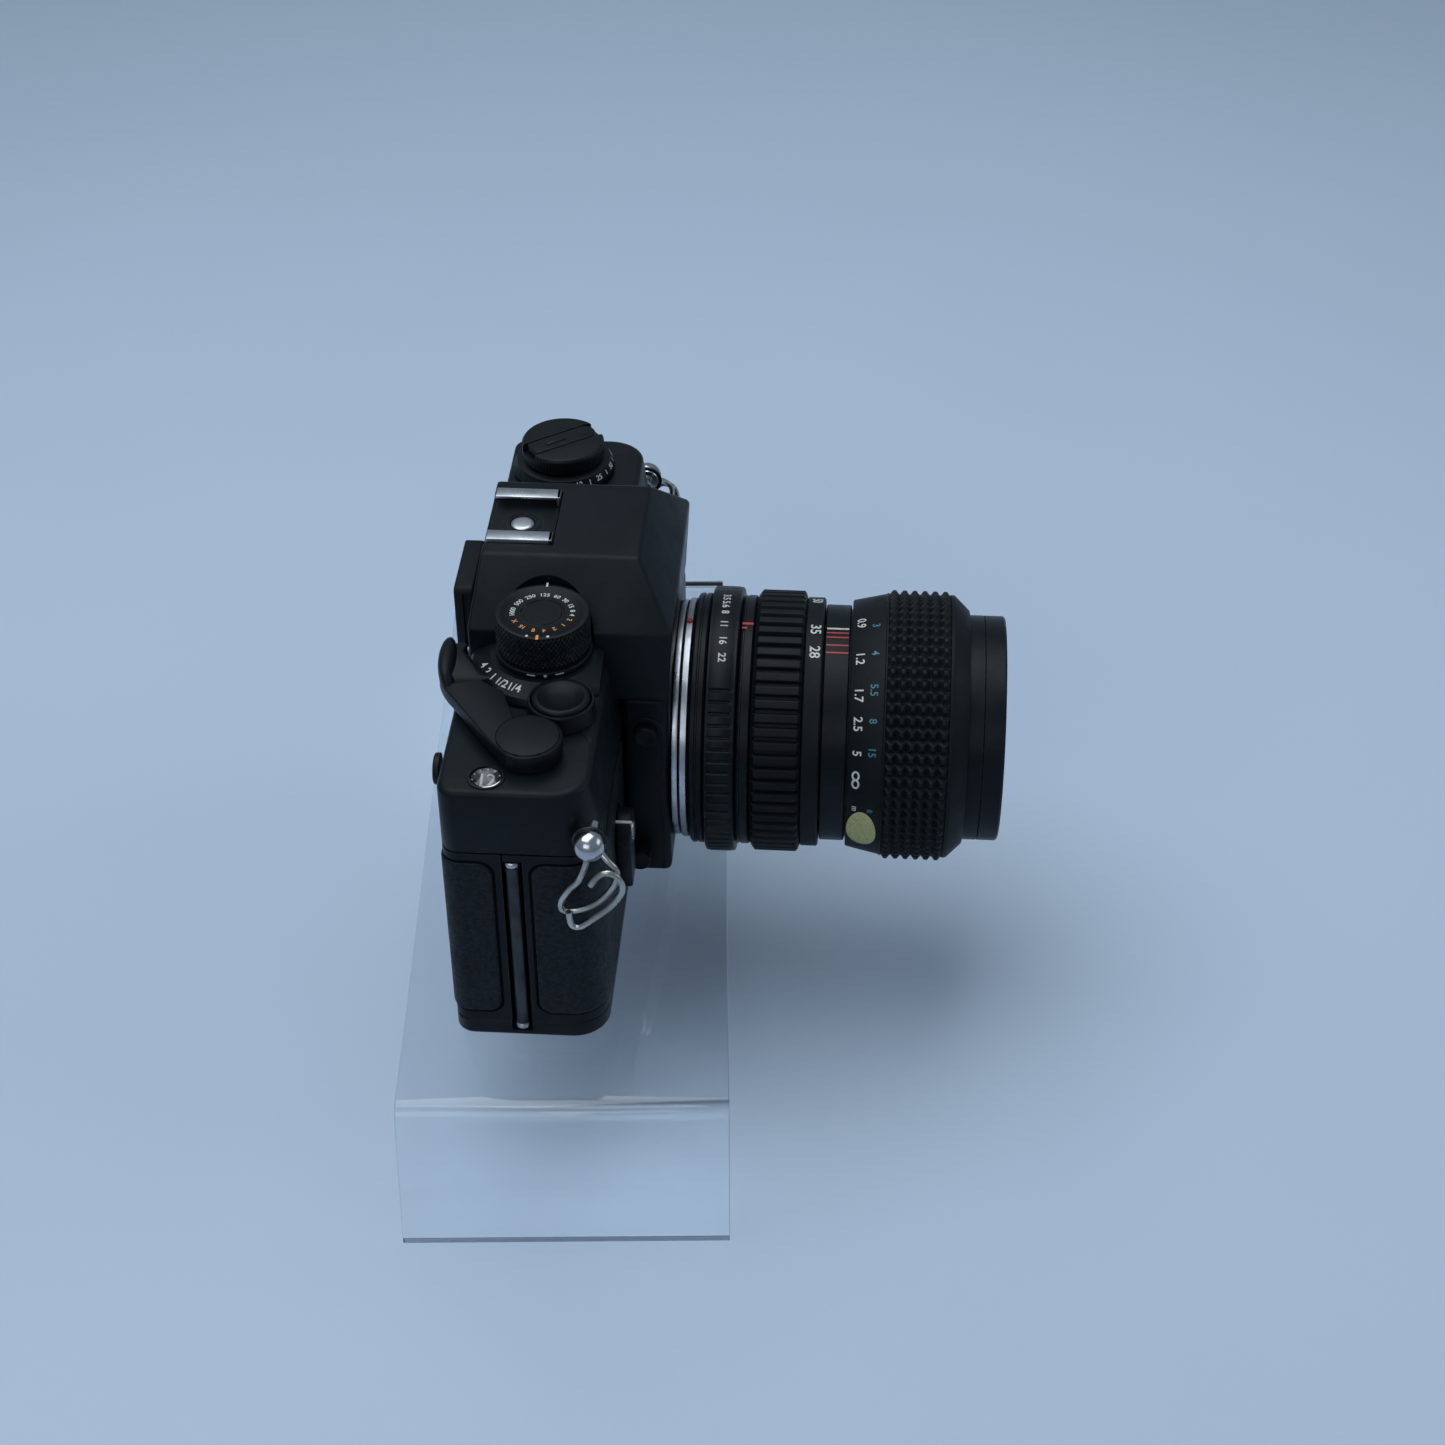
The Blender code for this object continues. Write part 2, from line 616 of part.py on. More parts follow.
def make_casting():
    """The body casting with its film chambers, shutter well and mirror chamber."""
    reach = DOOR_WRAP_Y - HINGE_ROD_Y
    swing = math.sqrt(reach ** 2 - HINGE_ROD_INSET ** 2)  # closest that the turning door's edge comes
    step_y = HINGE_ROD_Y + swing - SWING_CLEARANCE
    rear_wind = WIND_END + DOOR_END_WALL + GAP
    rear_rewind = REWIND_END - DOOR_LATCH_WALL - 0.6
    corners = [
        (WIND_END, BODY_FRONT),
        (REWIND_END, BODY_FRONT),
        (REWIND_END, DOOR_LATCH_Y - GAP),
        (rear_rewind, DOOR_LATCH_Y - GAP),
        (rear_rewind, FILM_PLANE),
        (rear_wind, FILM_PLANE),
        (rear_wind, step_y),
        (WIND_END, step_y),
    ]
    outline = rounded(corners, [BODY_CORNER, BODY_CORNER, 0, 0, 0, 0, 0, 0])
    low = BASE_SEAM_Z + SEAM_GAP
    high = TOP_SEAM_Z - SEAM_GAP
    casting = plate("body_casting", outline, low, high, HERE, LEATHERETTE)
    chamber = box("mirror_chamber", (-CHAMBER_HALF, BODY_FRONT - 5, CHAMBER_LOW_Z),
                  (CHAMBER_HALF, CHAMBER_BACK, CHAMBER_TOP_Z))
    well = box("shutter_well", (-CHAMBER_HALF, BLADE_FRONT - GAP, CHAMBER_LOW_Z - 10.0),
               (CHAMBER_HALF, CHAMBER_BACK, 0.0))
    gate = box("gate_window", (-GATE_WIDTH / 2, CHAMBER_BACK - 2, -GATE_HEIGHT / 2),
               (GATE_WIDTH / 2, FILM_PLANE + 2, GATE_HEIGHT / 2))
    finder = box("finder_window", (-18.4, BODY_FRONT + 1.6, 10.0), (18.4, 27.4, TOP_SEAM_Z + 2))
    take_up = box("take_up_chamber", (rear_wind + 3.4, BODY_FRONT + 4.6, low + 3),
                  (SPROCKET_X - SPROCKET_RADIUS - 1.4, BODY_BACK, high - 3))
    sprocket = box("sprocket_chamber", (SPROCKET_X - SPROCKET_RADIUS - 2, SPROCKET_Y - 7.0, -19.0),
                   (CHAMBER_HALF * -1 - 1.5, BODY_BACK, 18.4))
    cassette = box("cassette_chamber", (KNOB_X - 12.6, KNOB_Y - 12.6, low + 3),
                   (REWIND_END - CASSETTE_WALL - 0.4, BODY_BACK, high - 3))
    slide = box("film_slide", (SPROCKET_X - 4, FILM_PLANE - RAIL_HEIGHT, -17.6),
                (KNOB_X - 10, BODY_BACK, 17.6))
    rails = box("rail_block", (-GATE_WIDTH / 2 - 2.2, FILM_PLANE - RAIL_HEIGHT - 1, -14.0),
                (GATE_WIDTH / 2 + 2.2, FILM_PLANE - 0.01, 14.0))
    channel = turned("hinge_channel", disc(HINGE_CHANNEL_RADIUS, low - 3, HINGE_ROD_TOP_Z + 0.6),
                     (HINGE_ROD_X, HINGE_ROD_Y, 0.0), steps=SMALL_STEPS)
    cut(casting, take_up, sprocket, cassette, slide)
    combine(casting, rails, "UNION")
    cut(casting, chamber, well, gate, finder, channel)
    cut(casting, deck_hole("shaft_hole", KNOB_X, KNOB_Y, KNOB_SHAFT_RADIUS + PIN_CLEARANCE))
    pin_hole = turned("timer_hole", disc(PIN_RADIUS + PIN_CLEARANCE, -3.6, 2.0),
                      (TIMER_X, BODY_FRONT, TIMER_Z), axis="LENS", steps=SMALL_STEPS)
    unlock = turned("unlock_hole", disc(PIN_RADIUS + PIN_CLEARANCE, low - 2, low + 2.4),
                    (UNLOCK_X, UNLOCK_Y, 0.0), steps=SMALL_STEPS)
    cut(casting, pin_hole, unlock)


def make_base_cover():
    """The bottom cover with its wells for the tripod bush, battery lid and rewind unlock."""
    outline = body_outline(BODY_FRONT, BODY_BACK)
    cover = plate("base_cover", outline, BASE_Z, BASE_SEAM_Z, HERE, BLACK)
    bush = turned("bush_well", disc(TRIPOD_RADIUS + GAP, BASE_Z - 2, BASE_SEAM_Z + 2),
                  (TRIPOD_X, TRIPOD_Y, 0.0), steps=SMALL_STEPS)
    battery = turned("battery_well", disc(BATTERY_RADIUS + GAP, BASE_Z - 2, BASE_Z + 2.6),
                     (BATTERY_X, BATTERY_Y, 0.0), steps=SMALL_STEPS)
    unlock = turned("unlock_well", disc(UNLOCK_RADIUS + GAP, BASE_Z - 2, BASE_Z + 3.4),
                    (UNLOCK_X, UNLOCK_Y, 0.0), steps=SMALL_STEPS)
    unlock_pin = turned("unlock_pin_hole", disc(PIN_RADIUS + PIN_CLEARANCE, BASE_Z, BASE_SEAM_Z + 2),
                        (UNLOCK_X, UNLOCK_Y, 0.0), steps=SMALL_STEPS)
    channel = turned("rod_channel", disc(HINGE_CHANNEL_RADIUS, HINGE_ROD_LOW_Z - 0.6, BASE_SEAM_Z + 2),
                     (HINGE_ROD_X, HINGE_ROD_Y, 0.0), steps=SMALL_STEPS)
    cut(cover, bush, battery, unlock, unlock_pin, channel)
    turned("tripod_bush", ring(TRIPOD_RADIUS, TRIPOD_BORE, BASE_Z + 0.4, BASE_SEAM_Z),
           (TRIPOD_X, TRIPOD_Y, 0.0), STEEL, steps=SMALL_STEPS, closed=True)
    lid = turned("battery_lid", disc(BATTERY_RADIUS, BASE_Z + 0.3, BASE_Z + 2.3),
                 (BATTERY_X, BATTERY_Y, 0.0), DARK_METAL, steps=SMALL_STEPS)
    slot_half = BATTERY_RADIUS * 0.7
    cut(lid, box("coin_slot", (BATTERY_X - slot_half, BATTERY_Y - 0.8, BASE_Z - 1),
                 (BATTERY_X + slot_half, BATTERY_Y + 0.8, BASE_Z + 1.1)))
    turned("rewind_unlock_button", [
        (0.0, BASE_SEAM_Z + 1.2),
        (PIN_RADIUS, BASE_SEAM_Z + 1.2),
        (PIN_RADIUS, BASE_Z + 1.6),
        (UNLOCK_RADIUS, BASE_Z + 1.6),
        (UNLOCK_RADIUS, BASE_Z + 0.4),
        (0.0, BASE_Z + 0.4),
    ], (UNLOCK_X, UNLOCK_Y, 0.0), STEEL, steps=SMALL_STEPS)


def make_front_plate():
    """The lens-mount panel in front of the body, with the camera's mount flange."""
    rear = BODY_FRONT - GAP
    panel = box("front_plate", (-PLATE_HALF, PLATE_FRONT, PLATE_BOTTOM_Z),
                (PLATE_HALF, rear, PLATE_TOP_Z), BLACK, at=HERE, bevel=PLATE_BEVEL)
    throat = turned("throat", disc(THROAT_RADIUS, -10.0, 10.0), HERE, axis="LENS")
    chamber = box("plate_pocket", (-CHAMBER_HALF, -2.3, CHAMBER_LOW_Z),
                  (CHAMBER_HALF, rear + 2, CHAMBER_TOP_Z))
    preview = turned("preview_hole", disc(PIN_RADIUS + PIN_CLEARANCE, PLATE_HALF - 4.5, PLATE_HALF + 3),
                     (0.0, PREVIEW_Y, PREVIEW_Z), axis="-X", steps=SMALL_STEPS)
    lock = turned("lens_lock_hole", disc(PIN_RADIUS + PIN_CLEARANCE, PLATE_HALF - 4.5, PLATE_HALF + 3),
                  (0.0, LENS_LOCK_Y, LENS_LOCK_Z), axis="-X", steps=SMALL_STEPS)
    cut(panel, throat, chamber, preview, lock)
    start = -PLATE_FRONT + GAP
    turned("camera_mount_flange", ring(CAMERA_MOUNT_RADIUS, THROAT_RADIUS, start, MOUNT_START - GAP),
           HERE, CHROME, axis="LENS", closed=True)


def make_mirror_box():
    """The light-tight box, its reflex mirror, the focusing screen and the prism above it."""
    room = GAP
    outer = CHAMBER_HALF - room
    low = CHAMBER_LOW_Z + room
    high = CHAMBER_TOP_Z - room
    frame = box("mirror_box", (-outer, -2.0, low), (outer, BLADE_FRONT - 0.9, high), DARK_METAL, at=HERE)
    tunnel = box("box_tunnel", (-outer + BOX_WALL, -5.0, low + BOX_WALL),
                 (outer - BOX_WALL, BLADE_FRONT + 3, high - BOX_WALL))
    window = box("screen_window", (-16.0, 3.0, high - 4), (16.0, 25.5, high + 4))
    cut(frame, tunnel, window)
    box("focusing_screen", (-17.6, BODY_FRONT + 2.0, CHAMBER_TOP_Z + 0.2),
        (17.6, 27.0, CHAMBER_TOP_Z + 2.2), GLASS)
    prism_low = TOP_SEAM_Z + 1.2
    stack("pentaprism", [
        (prism_low, cross(PRISM_HOLLOW_HALF - 1.5, 5.0, 26.0)),
        (PRISM_WAIST_Z - 5, cross(PRISM_HOLLOW_HALF - 1.5, 2.0, 30.0)),
        (SHOE_SEAT_Z - 5, cross(6.0, 8.0, 24.0)),
    ], HERE, GLASS)
    mirror = box("reflex_mirror", (-MIRROR_WIDTH / 2, MIRROR_HINGE_Y - MIRROR_LENGTH, MIRROR_HINGE_Z),
                 (MIRROR_WIDTH / 2, MIRROR_HINGE_Y, MIRROR_HINGE_Z + MIRROR_THICKNESS), STEEL,
                 at=(0.0, MIRROR_HINGE_Y, MIRROR_HINGE_Z))
    mirror.rotation_euler = (math.radians(45), 0.0, 0.0)


def make_shutter():
    """Three metal blades that cover the film gate and stack below it."""
    bottom = -GATE_HEIGHT / 2 - 1.0
    for index in range(3):
        low = bottom + index * (BLADE_HEIGHT - 0.4)
        front = BLADE_FRONT + index * (BLADE_THICKNESS + GAP)
        box("shutter_blade_%d" % (index + 1), (-CHAMBER_HALF + 0.8, front, low),
            (CHAMBER_HALF - 0.8, front + BLADE_THICKNESS, low + BLADE_HEIGHT), DARK_METAL)


def make_film_transport():
    """The take-up spool, the sprocket and the rewind shaft's chamber pieces."""
    low = BASE_SEAM_Z + SEAM_GAP + 3 + GAP
    high = TOP_SEAM_Z - SEAM_GAP - 3 - GAP
    spool = turned("take_up_spool", [
        (0.0, high), (TAKE_UP_RADIUS, high), (TAKE_UP_RADIUS, high - 3),
        (TAKE_UP_RADIUS - 2, high - 3.5), (TAKE_UP_RADIUS - 2, low + 3.5),
        (TAKE_UP_RADIUS, low + 3), (TAKE_UP_RADIUS, low), (0.0, low),
    ], (TAKE_UP_X, TAKE_UP_Y, 0.0), RUBBER, steps=SMALL_STEPS)
    for index in range(3):
        slot = box("film_slot_%d" % (index + 1), (TAKE_UP_X + 1.5, TAKE_UP_Y - 0.8, -15.0),
                   (TAKE_UP_X + TAKE_UP_RADIUS + 2, TAKE_UP_Y + 0.8, 15.0))
        centre = Vector((TAKE_UP_X, TAKE_UP_Y, 0.0)) + SHIFT
        turn = Matrix.Rotation(index * 2 * math.pi / 3, 4, "Z")
        around = Matrix.Translation(centre * MM) @ turn @ Matrix.Translation(-centre * MM)
        slot.matrix_world = around @ slot.matrix_world
        cut(spool, slot)
    sprocket_low = -19.0 + GAP
    sprocket_high = 18.4 - GAP
    turned("film_sprocket", [
        (0.0, sprocket_high), (4.2, sprocket_high), (4.2, 17.0),
        (SPROCKET_RADIUS, 16.4), (SPROCKET_RADIUS, 14.6), (4.2, 14.0),
        (4.2, -14.0), (SPROCKET_RADIUS, -14.6), (SPROCKET_RADIUS, -16.4),
        (4.2, -17.0), (4.2, sprocket_low), (0.0, sprocket_low),
    ], (SPROCKET_X, SPROCKET_Y, 0.0), STEEL, steps=16)


def make_door(hinge):
    """The hinged back with its pressure plate and the rod on its hinge line."""
    corners = [
        (WIND_END, DOOR_WRAP_Y),
        (WIND_END + DOOR_END_WALL, DOOR_WRAP_Y),
        (WIND_END + DOOR_END_WALL, BODY_BACK - DOOR_WALL),
        (REWIND_END - DOOR_LATCH_WALL, BODY_BACK - DOOR_WALL),
        (REWIND_END - DOOR_LATCH_WALL, DOOR_LATCH_Y),
        (REWIND_END, DOOR_LATCH_Y),
        (REWIND_END, BODY_BACK),
        (WIND_END, BODY_BACK),
    ]
    outline = rounded(corners, [0, 0, 0, 0, 0, 0, BACK_CORNER, BACK_CORNER])
    place = (HINGE_ROD_X, HINGE_ROD_Y, 0.0)
    local = [(x - HINGE_ROD_X, y - HINGE_ROD_Y) for x, y in outline]
    plate("back_door", local, BASE_SEAM_Z + SEAM_GAP, TOP_SEAM_Z - SEAM_GAP, place,
          LEATHERETTE, hinge)
    turned("hinge_rod", disc(HINGE_ROD_RADIUS, HINGE_ROD_LOW_Z, HINGE_ROD_TOP_Z), place,
           DARK_METAL, parent=hinge, steps=SMALL_STEPS)
    inner = BODY_BACK - DOOR_WALL
    box("pressure_plate", (-24.0, FILM_PLANE + 0.1, -16.5), (24.0, inner - 0.15, 16.5),
        DARK_METAL, parent=hinge)


def make_wind_controls():
    """Shutter dial, release, wind lever, frame counter and the button on the back."""
    base_low = DECK_Z + GAP
    bore = DIAL_SHAFT_RADIUS + PIN_CLEARANCE
    base = turned("dial_base", [
        (POCKET_RADIUS, DIAL_BASE_TOP_Z),
        (DIAL_BASE_RADIUS - 0.4, base_low + 1.4),
        (DIAL_BASE_RADIUS, base_low),
        (bore, base_low),
        (bore, DIAL_BASE_TOP_Z),
    ], (DIAL_X, DIAL_Y, 0.0), BLACK, closed=True)
    notch = turned("collar_notch", disc(RELEASE_COLLAR_RADIUS + GAP, base_low - 3, DIAL_TOP_Z),
                   (RELEASE_X, RELEASE_Y, 0.0), steps=SMALL_STEPS)
    front_trim = box("base_front_trim", (DIAL_X - 30, DIAL_Y - 40, base_low - 3),
                     (DIAL_X + 30, DECK_FRONT + 1.0, DIAL_TOP_Z))
    housing_trim = box("base_housing_trim", (-PRISM_WAIST_HALF - GAP, DIAL_Y - 40, base_low - 3),
                       (DIAL_X + 60, DIAL_Y + 40, DIAL_TOP_Z))
    cut(base, notch, front_trim, housing_trim)
    turned("compensation_ring", ring(MARK_RING_RADIUS, bore, MARK_RING_LOW_Z, DIAL_LOW_Z - GAP),
           (DIAL_X, DIAL_Y, 0.0), BLACK, closed=True)
    turned("shutter_dial", [
        (0.0, DIAL_TOP_Z), (DIAL_RADIUS - 0.8, DIAL_TOP_Z), (DIAL_RADIUS, DIAL_TOP_Z - 0.8),
        (DIAL_RADIUS, DIAL_LOW_Z), (DIAL_SHAFT_RADIUS, DIAL_LOW_Z),
        (DIAL_SHAFT_RADIUS, DECK_Z - 4.5), (0.0, DECK_Z - 4.5),
    ], (DIAL_X, DIAL_Y, 0.0), BLACK)
    collar_bore = RELEASE_RADIUS + GAP
    collar = turned("release_collar", [
        (RELEASE_COLLAR_RADIUS - 0.3, RELEASE_COLLAR_TOP_Z),
        (RELEASE_COLLAR_RADIUS, RELEASE_COLLAR_TOP_Z - 0.6),
        (RELEASE_COLLAR_RADIUS, base_low),
        (collar_bore, base_low),
        (collar_bore, RELEASE_COLLAR_TOP_Z),
    ], (RELEASE_X, RELEASE_Y, 0.0), BLACK, steps=28, closed=True)
    button_low = DECK_Z + GAP + RELEASE_TRAVEL + GAP
    turned("release_button", [
        (0.0, RELEASE_TOP_Z - 0.5), (RELEASE_RADIUS - 1.6, RELEASE_TOP_Z - 0.2),
        (RELEASE_RADIUS - 0.5, RELEASE_TOP_Z), (RELEASE_RADIUS, RELEASE_TOP_Z - 0.5),
        (RELEASE_RADIUS, button_low), (PIN_RADIUS, button_low),
        (PIN_RADIUS, DECK_Z - 4.0), (0.0, DECK_Z - 4.0),
    ], (RELEASE_X, RELEASE_Y, 0.0), BLACK, steps=28)
    make_wind_lever()
    turned("counter_window", disc(COUNTER_RADIUS, DECK_Z - 0.9, DECK_Z + 0.25),
           (COUNTER_X, COUNTER_Y, 0.0), GLASS, steps=SMALL_STEPS)
    turned("frame_counter", ring(COUNTER_RADIUS - 0.2, 0.6, DECK_Z - 3.0, DECK_Z - 2.2),
           (COUNTER_X, COUNTER_Y, 0.0), BLACK, steps=SMALL_STEPS, closed=True)
    turned("back_button", [
        (0.0, 2.6), (BACK_BUTTON_RADIUS - 0.4, 2.6), (BACK_BUTTON_RADIUS, 2.2),
        (BACK_BUTTON_RADIUS, 1.3), (PIN_RADIUS, 1.3), (PIN_RADIUS, -3.6), (0.0, -3.6),
    ], (BACK_BUTTON_X, BODY_BACK, BACK_BUTTON_Z), BLACK, axis="BACK", steps=SMALL_STEPS)


def make_wind_lever():
    """The film advance lever: hub, swept arm and raised thumb tip, with its cap screw."""
    place = (LEVER_X, LEVER_Y, 0.0)
    hinge = pivot("wind_lever_pivot", place)
    sweep_radius = DIAL_BASE_RADIUS + 0.9
    hub = [(LEVER_HUB_RADIUS * math.cos(angle), LEVER_HUB_RADIUS * math.sin(angle))
           for angle in (math.radians(degrees) for degrees in range(150, 391, 20))]
    centre = Vector((DIAL_X - LEVER_X, DIAL_Y - LEVER_Y))
    inner = [centre + Vector((math.cos(angle), math.sin(angle))) * sweep_radius
             for angle in (math.radians(degrees) for degrees in range(156, 95, -12))]
    back = max(BODY_BACK - LEVER_Y, centre.y + sweep_radius + 0.6)
    tip = Vector((-29.0 - LEVER_X, back + 0.2))
    outline = hub + inner + [
        (tip.x, tip.y - 1.6), (tip.x + 0.6, tip.y), (tip.x - 1.2, back + 3.0),
        (tip.x - 5.0, back + 4.2), (tip.x - 11.0, back + 4.0),
        (tip.x - 15.0, back + 2.6), (tip.x - 20.0, back - 0.6),
        (tip.x - 27.0, back - 5.0), (tip.x - 34.0, back - 9.6),
    ]
    arm = plate("wind_lever", outline, LEVER_LOW_Z, LEVER_TOP_Z - 0.9, place, BLACK, hinge)
    thumb = stack("thumb_tip", [
        (LEVER_LOW_Z + 0.2, [(tip.x - 14.4, back + 0.6), (tip.x - 0.4, back + 0.4),
                             (tip.x - 1.4, back + 3.6), (tip.x - 12.6, back + 3.8)]),
        (LEVER_TOP_Z + 2.4, [(tip.x - 10.6, back + 0.8), (tip.x - 1.0, back + 0.6),
                             (tip.x - 1.8, back + 2.8), (tip.x - 9.6, back + 3.0)]),
    ], place)
    shaft = turned("lever_shaft", disc(LEVER_SHAFT_RADIUS, DECK_Z - 5, LEVER_LOW_Z + 1), place,
                   steps=SMALL_STEPS)
    combine(arm, thumb, "UNION")
    combine(arm, shaft, "UNION")
    cap_low = LEVER_TOP_Z - 0.9 + 0.05
    turned("wind_lever_cap", disc(LEVER_HUB_RADIUS - 0.6, cap_low, LEVER_TOP_Z), place, BLACK,
           parent=hinge, steps=SMALL_STEPS)


def make_rewind_controls():
    """The rewind knob with its folding crank, and the film-speed ring under it."""
    place = (KNOB_X, KNOB_Y, 0.0)
    hinge = pivot("rewind_pivot", place)
    bore = KNOB_SHAFT_RADIUS + PIN_CLEARANCE
    turned("film_speed_ring", [
        (FILM_RING_RADIUS - 0.9, KNOB_LOW_Z - GAP), (FILM_RING_RADIUS, DECK_Z + 1.6),
        (FILM_RING_RADIUS, DECK_Z + GAP), (bore, DECK_Z + GAP), (bore, KNOB_LOW_Z - GAP),
    ], place, BLACK, closed=True)
    knob = turned("rewind_knob", [
        (0.0, KNOB_TOP_Z), (KNOB_RADIUS - 0.7, KNOB_TOP_Z), (KNOB_RADIUS, KNOB_TOP_Z - 0.7),
        (KNOB_RADIUS, KNOB_LOW_Z + 0.6), (KNOB_RADIUS - 0.6, KNOB_LOW_Z),
        (KNOB_SHAFT_RADIUS, KNOB_LOW_Z), (KNOB_SHAFT_RADIUS, 13.0), (0.0, 13.0),
    ], place, BLACK, parent=hinge)
    turned("rewind_bushing", ring(KNOB_SHAFT_RADIUS + 1.8, bore - 0.1, 22.0, 25.5), place, STEEL,
           steps=SMALL_STEPS, closed=True)
    along = Vector((math.cos(CRANK_ANGLE), math.sin(CRANK_ANGLE), 0.0))
    recess_half = CRANK_LENGTH / 2 + 4
    groove = box("crank_groove", (KNOB_X - recess_half, KNOB_Y - CRANK_WIDTH / 2 - GAP,
                                  KNOB_TOP_Z - CRANK_THICKNESS - 0.6),
                 (KNOB_X + recess_half, KNOB_Y + CRANK_WIDTH / 2 + GAP, KNOB_TOP_Z + 6), at=place)
    groove.rotation_euler = (0.0, 0.0, CRANK_ANGLE)
    well_place = Vector(place) + along * (CRANK_LENGTH / 2 - 3.0)
    well = turned("crank_knob_well", disc(CRANK_KNOB_RADIUS + 0.5, KNOB_TOP_Z - 4.2, KNOB_TOP_Z + 5),
                  well_place, steps=SMALL_STEPS)
    fork_slot = box("fork_slot", (KNOB_X - 0.8, KNOB_Y - 6, 10.0), (KNOB_X + 0.8, KNOB_Y + 6, 14.6))
    cut(knob, groove, well)
    cut(knob, fork_slot)
    crank_axis = Vector(place) - along * (CRANK_LENGTH / 2 - CRANK_HEEL) + Vector(
        (0.0, 0.0, KNOB_TOP_Z - CRANK_THICKNESS / 2))
    half_width = CRANK_WIDTH / 2 - 0.1
    outline = rounded([
        (-CRANK_HEEL, -half_width), (CRANK_LENGTH - CRANK_HEEL, -half_width),
        (CRANK_LENGTH - CRANK_HEEL, half_width), (-CRANK_HEEL, half_width),
    ], [0.6, 2.2, 2.2, 0.6])
    crank = plate("rewind_crank", outline, -CRANK_THICKNESS / 2 + 0.1, CRANK_THICKNESS / 2 + 0.1,
                  crank_axis, BLACK, hinge, turn=(0.0, 0.0, CRANK_ANGLE))
    reach = CRANK_LENGTH - CRANK_HEEL - 3.0
    handle_place = crank_axis + along * reach
    crank_hole = turned("handle_hole", disc(1.3, -4.0, 4.0), handle_place, steps=SMALL_STEPS)
    cut(crank, crank_hole)
    low = -CRANK_THICKNESS / 2 - 2.4
    turned("crank_handle", [
        (0.0, CRANK_THICKNESS / 2 + 0.1), (0.95, CRANK_THICKNESS / 2 + 0.1),
        (0.95, -CRANK_THICKNESS / 2 - GAP), (CRANK_KNOB_RADIUS, -CRANK_THICKNESS / 2 - GAP),
        (CRANK_KNOB_RADIUS, low), (0.0, low),
    ], handle_place, STEEL, parent=hinge, steps=SMALL_STEPS)


def make_front_controls():
    """Self-timer lever, preview button and lens-lock button."""
    place = (TIMER_X, BODY_FRONT - GAP, TIMER_Z)
    angles = [math.radians(degrees) for degrees in range(-30, 211, 20)]
    outline = [(TIMER_RADIUS * math.cos(angle), TIMER_RADIUS * math.sin(angle)) for angle in angles]
    tip = TIMER_LENGTH
    outline += rounded([(-3.6, -tip), (3.6, -tip), (4.0, -tip + 6.0), (-4.0, -tip + 6.0)],
                       [1.6, 1.6, 0, 0])[:10]
    lever = plate("self_timer_lever", outline, 0.0, TIMER_THICKNESS, place, BLACK,
                  turn=(math.pi / 2, 0.0, 0.0), bevel=0.5)
    pin = turned("timer_pin", disc(PIN_RADIUS, -3.0, 1.0), place, axis="LENS", steps=SMALL_STEPS)
    combine(lever, pin, "UNION")
    for name, y, z, radius in (
        ("preview_button", PREVIEW_Y, PREVIEW_Z, PREVIEW_RADIUS),
        ("lens_lock_button", LENS_LOCK_Y, LENS_LOCK_Z, LENS_LOCK_RADIUS),
    ):
        head = 2.6 if name == "preview_button" else 5.4
        turned(name, [
            (0.0, head), (radius - 0.6, head), (radius, head - 0.6), (radius, 1.3),
            (PIN_RADIUS, 1.3), (PIN_RADIUS, -2.4), (0.0, -2.4),
        ], (-PLATE_HALF, y, z), BLACK, axis="-X", steps=SMALL_STEPS)


def strap_loop(side):
    """Points of the bent triangular wire that hangs from a strap lug."""
    x = (WIND_END - LUG_OUT) if side < 0 else (REWIND_END + LUG_OUT)
    corners = [
        (LUG_Y + 4.9, LUG_Z), (LUG_Y + 5.6, LUG_Z - 12.0), (LUG_Y + 3.2, LUG_Z - 18.6),
        (LUG_Y - 6.0, LUG_Z - 14.0), (LUG_Y - 7.6, LUG_Z - 5.4), (LUG_Y - 4.9, LUG_Z),
    ]
    outline = rounded(corners, [1.2, 3.2, 2.0, 4.0, 3.0, 1.2], steps=3)
    return [(x, y, z) for y, z in outline]


def make_strap_fittings():
    """A lug post with a cross-bored head at each end, and a bent wire loop through it."""
    for name, end, side in (("wind", WIND_END, -1), ("rewind", REWIND_END, 1)):
        axis = "-X" if side < 0 else "+X"
        head = [(LUG_HEAD_RADIUS * math.cos(angle), LUG_OUT + LUG_HEAD_RADIUS * math.sin(angle))
                for angle in (math.radians(degrees) for degrees in range(75, -50, -20))]
        profile = [(0.0, LUG_OUT + LUG_HEAD_RADIUS)] + head
        profile += [(LUG_NECK_RADIUS, head[-1][1] - 0.2), (LUG_NECK_RADIUS, -LUG_NECK_LENGTH),
                    (0.0, -LUG_NECK_LENGTH)]
        lug = turned("strap_lug_" + name, profile, (end, LUG_Y, LUG_Z), CHROME, axis=axis,
                     steps=SMALL_STEPS)
        bore = turned("lug_bore_" + name, disc(LUG_BORE, -9.0, 9.0),
                      (end + side * LUG_OUT, LUG_Y, LUG_Z), axis="LENS", steps=SMALL_STEPS)
        cut(lug, bore)
        wire("strap_ring_" + name, strap_loop(side), WIRE_RADIUS,
             (end + side * LUG_OUT, LUG_Y, LUG_Z), STEEL)


